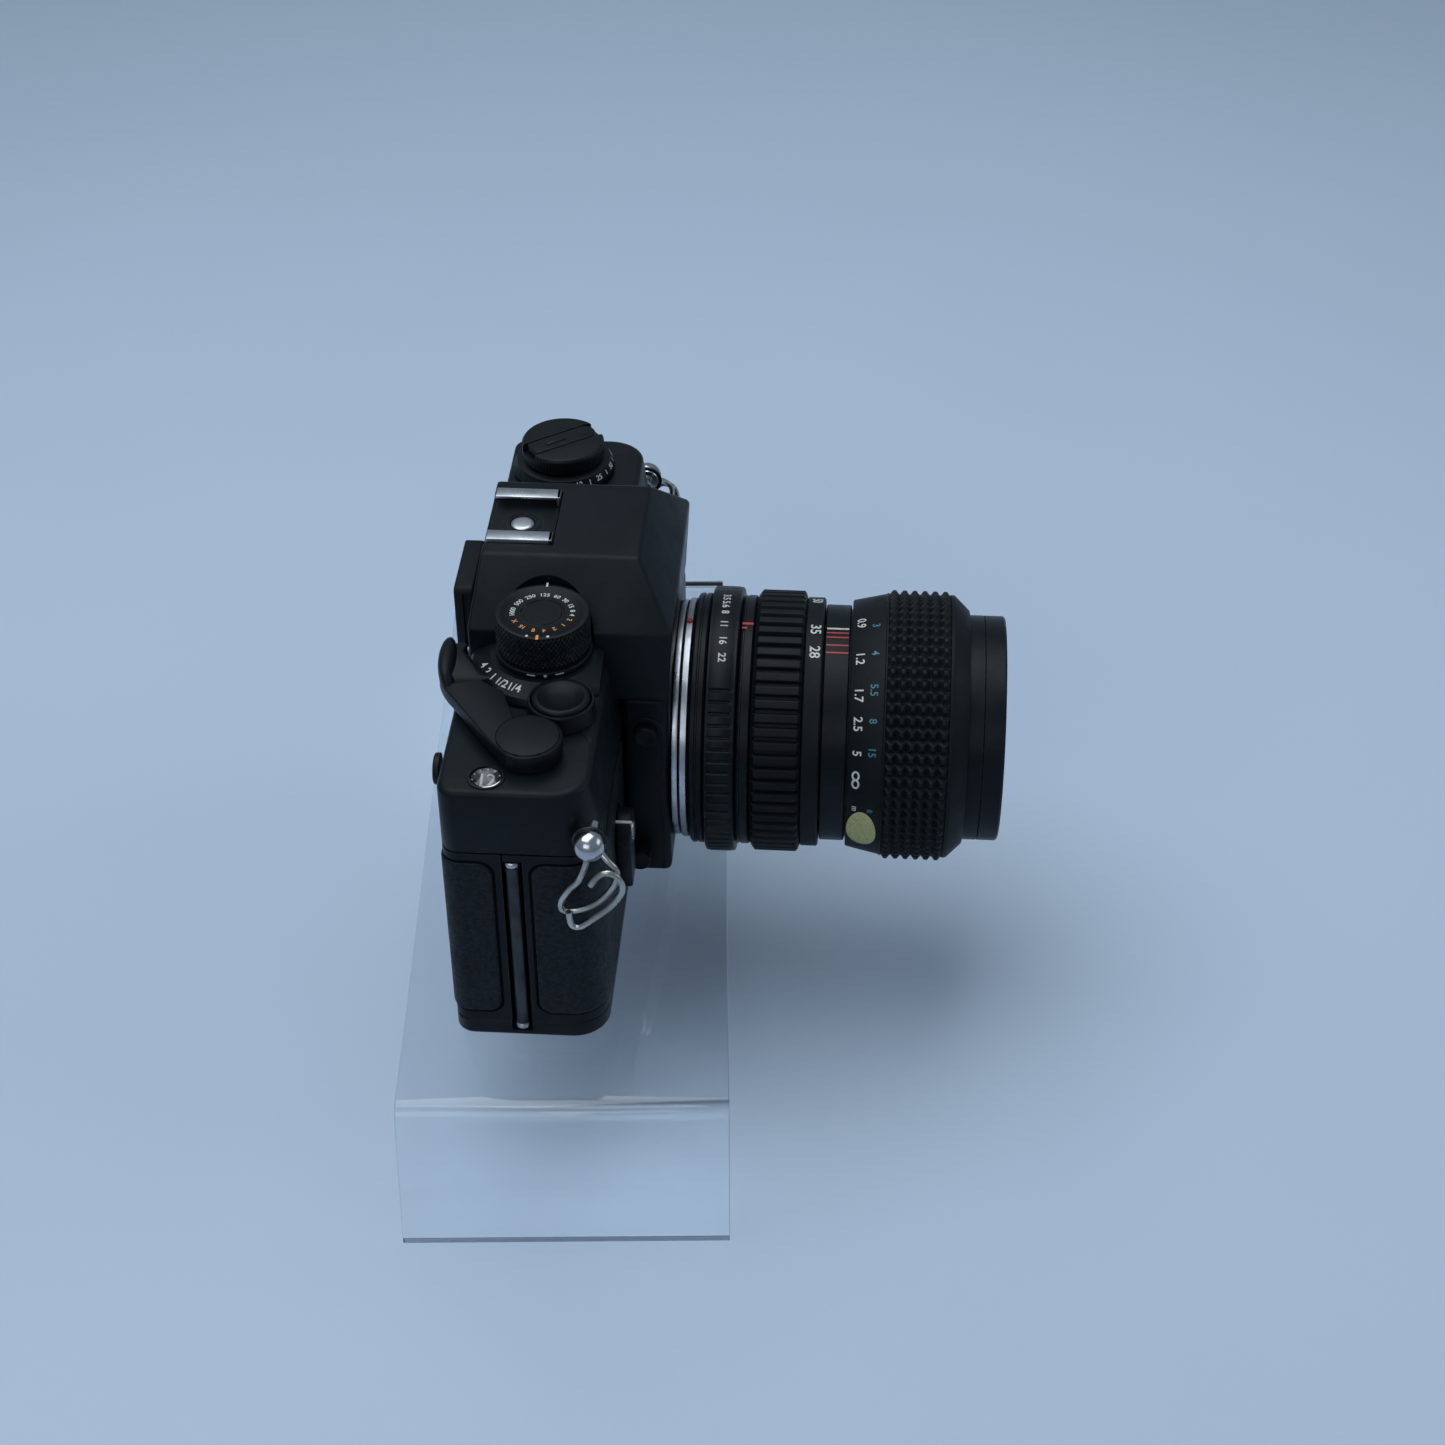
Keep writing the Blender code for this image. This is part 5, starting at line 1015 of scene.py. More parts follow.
def make_self_timer():
    """A tapered lever with a round boss, a painted highlight along the edge at its top, and a cap
    screw.
    """
    low, high = span("self_timer_lever")
    x, z = (low.x + high.x) / 2, timer_axis_z()
    boss, length = TIMER_BOSS_RADIUS, z - low.z
    outline = [(boss * math.cos(math.radians(a)), boss * math.sin(math.radians(a)))
               for a in range(-30, 211, 10)]
    outline += rounded([(-3.6, -length), (3.6, -length), (4.0, -length + 6), (-4.0, -length + 6)],
                       [1.6, 1.6, 0, 0], 6)[:14]
    rear = -PLATE_REAR_Y
    place = Matrix.Translation((x, -rear, z)) @ Matrix.Rotation(math.pi / 2, 4, "X")
    lever = slab(outline, 0.0, -rear - low.y, place, 0.6, 4)
    groove = turned([(3.9, 1.2), (3.5, -0.4), (3.1, 1.2)], (x, low.y, z), "LENS", 64)
    cut(lever, groove)
    piece("timer_lever_arm", [lever], "self_timer", "black_control", CONTROL, "self_timer_lever")
    screw = turned(disc_profile(2.3, -0.3, 0.35, 0.2), (x, low.y, z), "LENS", 48)
    cut(screw, block((x - 3, low.y - 1, z - 0.25), (x + 3, low.y - 0.05, z + 0.25)))
    piece("timer_cap_screw", [screw], "self_timer", "chrome", BRUSHED)
    # Painted highlight: white strips along the top edge of the boss and down its front.
    near = x - boss * 0.5
    top_z = z + boss * 0.87
    edge = block((near - 0.35, low.y - 0.05, top_z - 0.2), (near + 0.35, -rear, top_z + 0.22), 0.1)
    drop = block((near - 0.35, low.y - 0.15, top_z - 2.6), (near + 0.35, low.y + 0.2, top_z + 0.2),
                 0.1)
    piece("timer_bright_edge", [edge, drop], "self_timer", None, WHITE)


# Controls on the deck ----------------------------------------------------------------------

def knurl(count, rows, depth, low, high, radius):
    """Shape function for a diamond knurl between two heights of a drum."""
    def shape(angle, reach, height):
        if reach < radius - 0.05 or not low < height < high:
            return reach
        turn = rows * math.pi * (height - low) / (high - low)
        one = math.cos(count * angle / 2 + turn)
        two = math.cos(count * angle / 2 - turn)
        return reach - depth * (1 - max(abs(one), abs(two)) ** 2) * 1.6
    return shape


def make_shutter_dial():
    """A knurled dial with a raised rim, numbers on two arcs and a plain centre."""
    x, y, _, top, radius = upright("shutter_dial")
    foot = span("compensation_ring")[1].z + 0.3
    profile = [(0, top - 0.55), (4.2, top - 0.55), (4.4, top - 0.75), (4.8, top - 0.75),
               (5.0, top - 0.5), (8.3, top - 0.5), (8.6, top - 0.35), (radius - 1.3, top - 0.1),
               (radius - 0.9, top), (radius - 0.35, top - 0.15), (radius, top - 0.8)]
    side = [top - 0.8 - (top - 1.8 - foot) * i / 28 for i in range(1, 29)]
    profile += [(radius, h) for h in side]
    profile += [(radius - 0.5, foot), (2.5, foot), (2.5, 33.0), (0, 33.0)]
    dial = turned(profile, (x, y, 0), steps=384,
                  shape=knurl(64, 5, 0.42, foot + 0.9, top - 0.75, radius))
    piece("dial_knurled", [dial], "shutter_dial", "black_control", CONTROL, "shutter_dial")
    face = top - 0.49
    whites = ["1000", "500", "250", "125", "60", "30", "15", "8", "4"]
    oranges = ["2", "1", "2", "4", "8", "16", "X"]
    marks, _ = round_the_dial(whites, x, y, face, 106, 5.4)
    marks.append(stroke(0.45, 1.5, on_disc(x, y, top + 0.02, 0, radius - 0.75)))
    marks += [dot(0.7, 0.7, on_disc(x, y, top - 0.02, 180 + shift, radius - 1.0), 16)
              for shift in (-14, 14)]
    piece("dial_numbers_white", marks, "shutter_dial", None, WHITE)
    marks, _ = round_the_dial(oranges, x, y, face, 254, 12.5)
    marks.append(stroke(0.6, 1.6, on_disc(x, y, top - 0.02, 180, radius - 0.85)))
    piece("dial_numbers_orange", marks, "shutter_dial", None, ORANGE)


def round_the_dial(texts, x, y, face, start, gap):
    """Numbers clockwise from an angle in degrees, spaced by their own lengths."""
    height, radius, advance = 1.12, 6.7, 0.80
    marks, angle = [], start
    for text in texts:
        half = math.degrees(advance * height * len(text) / radius) / 2
        angle -= half
        marks.append(lettering(text, height, on_disc(x, y, face, angle, radius)))
        angle -= half + gap
    return marks, angle


def make_compensation():
    """The ring under the dial, and the cone with its numbers round the near side."""
    x, y, low, high, radius = upright("compensation_ring")
    ring = turned(ring_profile(radius, 2.9, low, high, 0.25), (x, y, 0), steps=160)
    piece("compensation_ring_plain", [ring], "compensation_ring", "black_control", CONTROL,
          "compensation_ring")
    drum = (low + high) / 2
    marks = [dot(0.75, 0.75, on_cone(x, y, drum, 188, radius, 0), 16)]
    marks += [stroke(1.9, 0.32, on_cone(x, y, drum + 0.1, 188 + shift, radius, 0))
              for shift in (-17, 17)]
    piece("compensation_marks", marks, "compensation_ring", None, WHITE)
    base_low, base_high = span("dial_base")
    outer = CONE_RADIUS
    pocket = radius + 0.6
    cone = turned([(pocket, base_high.z), (pocket + 0.5, base_high.z),
                   (outer - 0.9, base_low.z + 2.0), (outer - 0.3, base_low.z + 1.2),
                   (outer, base_low.z + 0.6),
                   (outer, base_low.z), (2.9, base_low.z), (2.9, base_high.z)], (x, y, 0),
                  steps=160)
    cut(cone, post("release_collar", 0.3, base_low.z - 3, base_high.z + 9),
        block((x - 30, y - 40, base_low.z - 3), (x + 30, DECK_FRONT + 1, base_high.z + 9)),
        block((-WAIST_HALF - 0.3, y - 40, base_low.z - 3), (x + 60, y + 40, base_high.z + 9)))
    piece("dial_base_cone", [cone], "camera", "black_cover", BLACK_PAINT, "dial_base", sharp=25.0)
    mid = (base_low.z + 2.0 + base_high.z) / 2
    slope = (outer - 0.9 - pocket - 0.5) / (base_high.z - base_low.z - 2.0)
    reach = (outer - 0.9 + pocket + 0.5) / 2
    marks = []
    for text, degrees in (("1/4", 158), ("1/2", 144), ("1", 132), ("2", 122), ("4", 112)):
        marks.append(lettering(text, 1.85, on_cone(x, y, mid, degrees, reach, slope)))
    piece("dial_base_numbers", marks, "camera", None, WHITE)


def make_release():
    """The dished release button in its collar."""
    x, y, low, high, radius = upright("release_collar")
    inner = span("release_button")
    button_radius = (inner[1].x - inner[0].x) / 2
    collar = turned([(radius - 0.35, high), (radius - 0.1, high - 0.2), (radius, high - 0.5),
                     (radius, low + 0.9), (radius + 0.25, low + 0.5), (radius + 0.25, low),
                     (button_radius + 0.3, low), (button_radius + 0.3, high - 0.15),
                     (button_radius + 0.45, high)], (x, y, 0), steps=96)
    piece("release_collar_ring", [collar], "camera", "black_cover", CONTROL, "release_collar")
    top = inner[1].z
    profile = [(0, top - 1.15), (1.6, top - 1.1), (3.1, top - 0.85), (4.3, top - 0.45),
               (5.0, top - 0.1), (5.35, top), (5.8, top - 0.02), (6.25, top - 0.25),
               (button_radius, top - 0.7), (button_radius, low + 1.8), (1.5, low + 1.8),
               (1.5, DECK_Z - 4), (0, DECK_Z - 4)]
    button = turned(profile, (x, y, 0), steps=96)
    piece("release_button_dished", [button], "release_button", "black_control", CONTROL,
          "release_button", sharp=50.0)


def make_wind_lever():
    """The advance lever: a flat faceted arm from a large hub to a raised, rounded thumb tip."""
    x, y, _, top, _ = upright("wind_lever_cap")
    low, high = span("wind_lever")
    dial_x, dial_y = upright("shutter_dial")[:2]
    hub_radius, arm_low, arm_top = 7.6, LEVER_LOW_Z, top - 0.4
    back = BODY_BACK - y
    tip = Vector((-29.0 - x, back + 0.2))
    hub = [(hub_radius * math.cos(math.radians(a)), hub_radius * math.sin(math.radians(a)))
           for a in range(150, 391, 10)]
    centre = Vector((dial_x - x, dial_y - y))
    inner = [centre + LEVER_SWEEP * Vector((math.cos(math.radians(a)), math.sin(math.radians(a))))
             for a in range(156, 95, -6)]
    outer = smooth_path([inner[-1], (tip.x, tip.y - 1.2), (tip.x + 0.2, tip.y + 0.5),
                         (tip.x - 1.2, back + 2.8), (tip.x - 5.0, back + 4.1),
                         (tip.x - 11.0, back + 3.9), (tip.x - 16.0, back + 2.2),
                         (tip.x - 21.0, back - 1.2), (tip.x - 27.0, back - 5.4),
                         (tip.x - 34.0, back - 10.2), hub[0]], steps=5)
    outline = [Vector(p) for p in hub] + inner + outer[1:-1]
    place = Matrix.Translation((x, y, 0))
    arm = slab(outline, arm_low, arm_top, place, 0.45, 3)
    skirt = turned([(0, arm_low + 0.2), (6.4, arm_low + 0.2), (6.6, DECK_Z + 0.35),
                    (0, DECK_Z + 0.35)], (x, y, 0), steps=64)
    shaft = turned([(0, arm_low), (3.0, arm_low), (3.0, low.z), (0, low.z)], (x, y, 0), steps=32)
    cage = [
        [(tip.x - 21.0, back - 2.4, arm_low - 0.6), (tip.x + 0.6, back + 0.2, arm_low - 0.6),
         (tip.x - 0.4, back + 4.6, arm_low - 0.6), (tip.x - 16.0, back + 3.8, arm_low - 0.6)],
        [(tip.x - 19.0, back - 1.0, arm_top + 1.0), (tip.x + 0.9, back + 0.2, arm_top + 1.0),
         (tip.x - 0.4, back + 4.9, arm_top + 1.0), (tip.x - 15.0, back + 4.5, arm_top + 1.0)],
        [(tip.x - 14.0, back + 1.0, high.z + 0.9), (tip.x - 0.6, back + 0.9, high.z + 0.9),
         (tip.x - 1.2, back + 4.0, high.z + 0.9), (tip.x - 12.8, back + 4.2, high.z + 0.9)],
    ]
    thumb = loft(cage)
    subdivide = thumb.modifiers.new("smooth", "SUBSURF")
    subdivide.levels = 3
    settle(thumb)
    thumb.data.transform(place)
    facet = loft([
        [(x + tip.x - 15.5, y + back - 0.6, arm_top - 0.1),
         (x + tip.x - 1.6, y + back + 0.8, arm_top - 0.1),
         (x + tip.x - 12.5, y + back - 8.6, arm_top - 0.1)],
        [(x + tip.x - 14.2, y + back + 0.4, arm_top + 1.5),
         (x + tip.x - 2.6, y + back + 1.0, arm_top + 1.5),
         (x + tip.x - 12.0, y + back - 5.6, arm_top + 0.25)],
    ])
    soften(facet, 0.25, 2)
    piece("advance_lever", [arm, skirt, shaft, thumb, facet], "wind_lever", "black_control",
          CONTROL, "wind_lever", sharp=32.0)
    cap = turned(disc_profile(hub_radius - 0.6, arm_top - 0.05, top, 0.4), (x, y, 0), steps=96)
    piece("advance_lever_cap", [cap], "wind_lever", "black_control", CONTROL, "wind_lever_cap")


def make_rewind():
    """The film-speed ring, the rewind knob with its diametral groove, the crank and its knob."""
    x, y, low, high, radius = upright("film_speed_ring")
    ring = turned([(radius - 1.3, high), (radius - 1.0, high - 0.15), (radius, DECK_Z + 1.7),
                   (radius, DECK_Z + 0.5), (radius - 0.2, low), (3.4, low), (3.4, high)],
                  (x, y, 0), steps=240,
                  shape=lambda a, r, h: r - 0.22 * (r > radius - 0.05 and math.cos(90 * a) > 0.3))
    piece("film_speed_ring_fluted", [ring], "film_speed_ring", "black_control", CONTROL,
          "film_speed_ring")
    slope = 1.0 / (high - 0.15 - DECK_Z - 1.7)
    numbers = ["12", "25", "50", "100", "200", "400", "800", "1600"]
    place_z = (high + DECK_Z + 1.55) / 2
    marks = [lettering(text, 1.35, on_cone(x, y, place_z, 205 + 28 * index, radius - 0.5, slope))
             for index, text in enumerate(numbers)]
    marks += [stroke(0.25, 1.2, on_cone(x, y, place_z, 219 + 28 * index, radius - 0.5, slope))
              for index in range(len(numbers) - 1)]
    piece("film_speed_numbers", marks, "film_speed_ring", None, WHITE)
    x, y, foot, top, radius = upright("rewind_knob")
    knob_low = high + 0.3
    profile = [(0, top), (radius - 1.0, top), (radius - 0.35, top - 0.15), (radius, top - 0.7),
               (radius, knob_low + 1.2), (radius - 0.25, knob_low + 0.9),
               (radius - 0.25, knob_low + 0.6), (radius - 0.8, knob_low), (SHAFT_RADIUS, knob_low),
               (SHAFT_RADIUS, foot), (0, foot)]
    knob = turned(profile, (x, y, 0), steps=288,
                  shape=lambda a, r, h: r - 0.16 * (r > radius - 0.05 and h < top - 0.8
                                                    and math.cos(72 * a) > 0.2))
    crank_low, crank_high = span("rewind_crank")
    turn = CRANK_TURN
    long, wide, thick, heel = 17.6, 5.4, 1.6, 1.0
    along = Vector((math.cos(turn), math.sin(turn), 0))
    spin = Matrix.Translation((x, y, 0)) @ Matrix.Rotation(turn, 4, "Z")
    groove = block((-long / 2 - 4, -wide / 2 - 0.3, top - thick - 0.6),
                   (long / 2 + 4, wide / 2 + 0.3, top + 6), 0)
    groove.data.transform(spin)
    well_at = Vector((x, y, 0)) + along * (long / 2 - 3)
    well = turned([(0, top + 5), (2.9, top + 5), (2.9, top - 4.2), (0, top - 4.2)], well_at,
                  steps=48)
    fork = block((x - 0.8, y - 6, foot - 3), (x + 0.8, y + 6, foot + 1.6))
    cut(knob, groove, well, fork)
    piece("rewind_knob_grooved", [knob], "rewind_knob", "black_control", CONTROL, "rewind_knob",
          sharp=30.0)
    axis_at = Vector((x, y, (crank_low.z + crank_high.z) / 2)) - along * (long / 2 - heel)
    half = wide / 2 - 0.1
    outline = rounded([(-heel, -half), (long - heel, -half), (long - heel, half), (-heel, half)],
                      [0.8, 2.4, 2.4, 0.8], 8)
    crank_place = Matrix.Translation(axis_at) @ Matrix.Rotation(turn, 4, "Z")
    crank = slab(outline, -thick / 2, thick / 2, crank_place, 0.3, 3)
    rib = slab(rounded([(3.0, -0.9), (9.0, -0.6), (9.0, 0.6), (3.0, 0.9)], 0.5, 4), 0.0,
               thick / 2 + 0.35, crank_place, 0.2, 2)
    piece("rewind_crank_arm", [crank, rib], "rewind_crank", "black_control", CONTROL,
          "rewind_crank")
    hx, hy, hlow, hhigh, hradius = upright("crank_handle")
    handle = turned([(0, hhigh + 0.15), (1.1, hhigh + 0.1), (1.25, hhigh - 0.15),
                     (0.95, hhigh - 0.2), (0.95, hlow + 2.15), (hradius - 0.3, hlow + 2.1),
                     (hradius, hlow + 1.8), (hradius, hlow + 0.4), (hradius - 0.4, hlow),
                     (0, hlow)], (hx, hy, 0), steps=48)
    piece("crank_handle_turned", [handle], "crank_handle", "steel", CONTROL, "crank_handle")


def make_shoe():
    """Two bright rails on a black seat, with the round contact between them."""
    low, high = span("accessory_shoe")
    floor_z = SHOE_SEAT_Z
    width, lip = 3.6, 0.9
    rails = []
    for side in (-1, 1):
        outer = side * high.x
        profile = [(outer, floor_z), (outer, high.z), (outer - side * width, high.z),
                   (outer - side * width, high.z - lip), (outer - side, high.z - lip),
                   (outer - side, floor_z)]
        rails.append(soften(loft([[(px, py, pz) for px, pz in profile]
                                  for py in (low.y, high.y)]), 0.22, 3, 40))
        rails.append(block((min(outer, outer - side * width), low.y, floor_z),
                           (max(outer, outer - side * width), low.y + 1.0, high.z), 0.22))
    piece("shoe_rails", rails, "camera", "chrome", BRUSHED, "accessory_shoe")
    seat = block((low.x + 1.1, low.y + 0.2, low.z), (high.x - 1.1, high.y, floor_z - 0.02), 0.15)
    x, y, _, contact_top, radius = upright("shoe_contact")
    cut(seat, turned([(0, 70), (radius + 0.3, 70), (radius + 0.3, 50), (0, 50)], (x, y, 0)))
    ridge = turned(ring_profile(radius + 1.9, radius + 0.9, floor_z - 0.3, floor_z + 0.16, 0.1),
                   (x, y, 0))
    piece("shoe_seat", [seat, ridge], "camera", "black_cover", CONTROL)
    contact = turned([(0, contact_top + 0.05), (1.8, contact_top),
                      (radius - 0.2, contact_top - 0.1), (radius, contact_top - 0.3),
                      (radius, low.z), (0, low.z)], (x, y, 0))
    piece("shoe_contact_disc", [contact], "camera", "steel", BRUSHED, "shoe_contact")


def make_eyepiece():
    """The eyepiece frame with a stepped opening round its glass, and side grooves."""
    low, high = span("eyepiece_frame")
    eye_low, eye_high = span("eyepiece_lens")
    outline = rounded([(low.x, low.z), (high.x, low.z), (high.x, high.z), (low.x, high.z)], 1.6, 6)
    turn = Matrix(((1, 0, 0, 0), (0, 0, 1, 0), (0, 1, 0, 0), (0, 0, 0, 1)))
    body = slab(outline, low.y, high.y, turn, 0.5)
    inner = block((eye_low.x - 0.3, low.y - 5, eye_low.z - 0.3),
                  (eye_high.x + 0.3, high.y + 5, eye_high.z + 0.3))
    step = block((eye_low.x - 1.5, high.y - 1.2, eye_low.z - 1.5),
                 (eye_high.x + 1.5, high.y + 5, eye_high.z + 1.5), 0.4)
    grooves = [block((side * high.x - 0.7, low.y + 1.6, low.z + 1.5),
                     (side * high.x + 0.7, low.y + 2.6, high.z - 1.5)) for side in (-1, 1)]
    cut(body, inner, step, *grooves)
    piece("eyepiece_surround", [body], "camera", "black_cover", RUBBER, "eyepiece_frame")


def make_strap_fittings():
    """A bright lug with a cross hole at each end, its collar, and a bent double wire."""
    for name, end, side, axis in (("wind", WIND_END, -1, "-X"), ("rewind", REWIND_END, 1, "+X")):
        lug_low, lug_high = span("strap_lug_" + name)
        y, z = (lug_low.y + lug_high.y) / 2, (lug_low.z + lug_high.z) / 2
        radius, out = 3.6, 1.6
        profile = [(0, out + radius)]
        profile += [(radius * math.cos(math.radians(a)), out + radius * math.sin(math.radians(a)))
                    for a in range(84, -41, -6)]
        profile += [(1.9, -0.8), (1.9, -4.6), (0, -4.6)]
        lug = turned(profile, (end, y, z), axis, 64)
        hole = drill((0, 0, 0), "LENS", 1.35, -12, 12, 30)
        hole.data.transform(Matrix.Translation((end + side * out, y + 0.013, z + 0.021))
                            @ Matrix.Rotation(0.05, 4, "Y"))
        cut(lug, hole)
        piece("strap_lug_%s_ball" % name, [lug], "camera", "chrome", CHROME, "strap_lug_" + name)
        collar = turned(ring_profile(3.9, 2.6, -0.3, 0.35, 0.2), (end, y, z), axis, 48)
        piece("strap_lug_%s_collar" % name, [collar], "camera", "chrome", DARK_METAL)
        x = end + side * out
        hang, keep = side * 2.4, side * 3.7
        ring_path = [(0, 0.6, -0.3), (0.7, 0.5, -3.0), (1, 2.3, -8.0), (1, 4.6, -11.0),
                     (1, 6.4, -14.6), (1, 5.9, -17.0), (1, 2.3, -16.6), (1, -1.9, -14.0),
                     (1, -5.4, -9.0), (1, -6.0, -5.0), (0.8, -4.2, -2.6), (0, -1.4, -0.6)]
        corners = [(x + hang * out_by, y + py, z + pz) for out_by, py, pz in ring_path]
        loop = wire(smooth_path(corners, True, 7), 0.72, True)
        keeper_path = [(-0.4, -8.2), (-2.0, -5.6), (-4.0, -4.4), (-6.5, -5.8), (-7.2, -9.6),
                       (-4.6, -14.0), (-0.8, -17.8), (2.3, -20.4), (4.2, -19.8), (4.7, -16.2)]
        keeper = wire(smooth_path([(x + keep, y + py, z + pz) for py, pz in keeper_path], steps=7),
                      0.72)
        piece("strap_ring_%s_wire" % name, [loop, keeper], "strap_ring_" + name, "steel", STEEL,
              "strap_ring_" + name)


# The lens ----------------------------------------------------------------------------------

def ribbed(count, depth, radius, share=0.5, window=None):
    """Shape function for straight ribs: grooves take a share of each pitch."""
    def shape(angle, reach, height):
        if reach < radius - 0.02:
            return reach
        degrees = math.degrees(angle)
        if window and (degrees < window[0] or degrees > window[1]):
            return reach
        phase = (angle * count / (2 * math.pi)) % 1.0
        ease = min(max((abs(phase - 0.5) * 2 - (1 - share)) / 0.22, 0.0), 1.0)
        return reach - depth * ease
    return shape


def make_mount():
    """The lens's bright mount ring, the barrel behind the rings, and the base ring."""
    rear, front, radius = along_lens("lens_mount")
    mount = turned([(radius - 0.3, front), (radius, front - 0.3), (radius, 8.9),
                    (radius - 0.3, 8.6), (21.3, 8.6), (21.3, rear), (15.6, rear),
                    (15.6, front)], axis="LENS", steps=192)
    piece("lens_mount_ring", [mount], "camera", "chrome", BRUSHED, "lens_mount")
    dot_mark = dot(1.7, 1.5, on_lens(0, 9.5, radius), 24, 0.3)
    piece("mount_red_dot", [dot_mark], "camera", None, RED)
    rear, front, radius = along_lens("lens_barrel")
    barrel = turned([(BARREL_RADIUS, front), (BARREL_RADIUS, 14.2), (radius - 0.4, 14.2),
                     (radius, 13.8), (radius, 12.8), (radius - 0.35, 12.6), (radius - 0.35, 12.3),
                     (radius, 12.1), (radius, rear + 0.5), (radius - 0.5, rear), (20.0, rear),
                     (20.0, front)], axis="LENS", steps=192)
    piece("barrel_and_base_ring", [barrel], "camera", "black_lens", LENS_BLACK, "lens_barrel")


def make_aperture_ring():
    """The aperture ring: a smooth numbered stretch, then fine serrations round the rest."""
    rear, front, radius = along_lens("aperture_ring")
    bore = RING_BORE
    low, high = rear + 1.0, front - 1.3
    profile = [(radius - 0.5, front), (radius - 0.1, front - 0.3), (radius - 0.1, high + 0.2),
               (radius, high), (radius, low), (radius - 0.1, low - 0.2),
               (radius - 0.1, rear + 0.3), (radius - 0.5, rear), (bore, rear), (bore, front)]
    ring = turned(profile, axis="LENS", steps=1080,
                  shape=ribbed(72, 0.55, radius, 0.36, (36.0, 345.0)))
    piece("aperture_ring_serrated", [ring], "aperture_ring", "black_lens", LENS_BLACK,
          "aperture_ring")
    marks = [lettering(text, 1.75, on_lens(angle, (low + high) / 2, radius))
             for text, angle in (("3.5", -12), ("5.6", -5.5), ("8", 0.5), ("11", 8), ("16", 17),
                                 ("22", 25.5))]
    piece("aperture_numbers", marks, "aperture_ring", None, WHITE)


def make_index_ring():
    rear, front, radius = along_lens("index_ring")
    profile = [(radius - 0.35, front), (radius, front - 0.3), (radius, rear + 1.0),
               (radius - 0.25, rear + 0.8), (radius - 0.25, rear + 0.55), (radius, rear + 0.35),
               (radius - 0.3, rear), (RING_BORE, rear), (RING_BORE, front)]
    ring = turned(profile, axis="LENS", steps=160)
    piece("index_ring_grooved", [ring], "camera", "black_lens", LENS_BLACK, "index_ring")
    middle_at = (rear + front) / 2
    marks = [stroke(0.75, 2.6, on_lens(3.5, middle_at, radius)),
             stroke(0.6, 1.2, on_lens(6.4, middle_at - 0.7, radius))]
    piece("index_marks", marks, "camera", None, RED)


def make_zoom_ring():
    """The zoom ring: sixty flat rubber ribs, and a smooth number band in front of them."""
    rear, front, radius = along_lens("zoom_ring")
    grip_end = front - 4.5
    band = 30.1
    rib_low, rib_high = rear + 0.6, grip_end - 0.3
    profile = [(band - 0.35, front), (band, front - 0.35), (band, grip_end + 0.5),
               (band - 0.4, grip_end + 0.2), (radius - 0.6, rib_high + 0.1),
               (radius, rib_high - 0.4), (radius, rib_low + 0.4), (radius - 0.6, rib_low),
               (radius - 1.4, rear), (RING_BORE, rear), (RING_BORE, front)]
    ring = turned(profile, axis="LENS", steps=1080, shape=ribbed(60, 1.25, radius, 0.46))
    piece("zoom_grip", [ring], "zoom_ring", "rubber_grip", RUBBER, "zoom_ring", sharp=40.0)
    place = (grip_end + 0.5 + front) / 2
    marks = [lettering(text, 2.4, on_lens(angle, place, band))
             for text, angle in (("35", 5.6), ("28", 19.0), ("50", -22), ("70", -48))]
    piece("zoom_numbers", marks, "zoom_ring", None, WHITE)


def make_scale_ring():
    rear, front, radius = along_lens("scale_ring")
    profile = [(radius - 0.3, front), (radius, front - 0.3), (radius, rear + 0.3),
               (radius - 0.3, rear), (RING_BORE, rear), (RING_BORE, front + 0.25),
               (radius - 0.9, front + 0.25), (radius - 0.9, front)]
    ring = turned(profile, axis="LENS", steps=160)
    piece("scale_ring_plain", [ring], "camera", "black_lens", LENS_BLACK, "scale_ring")
    long, place = front - rear - 0.8, (rear + front) / 2
    piece("scale_white_line", [stroke(0.55, long, on_lens(1.0, place, radius))], "camera",
          None, WHITE)
    reds = [stroke(wide, long, on_lens(angle, place, radius))
            for angle, wide in ((4.1, 0.42), (7.2, 0.42), (12.3, 0.42), (16.8, 0.42))]
    piece("scale_red_lines", reds, "camera", None, RED)


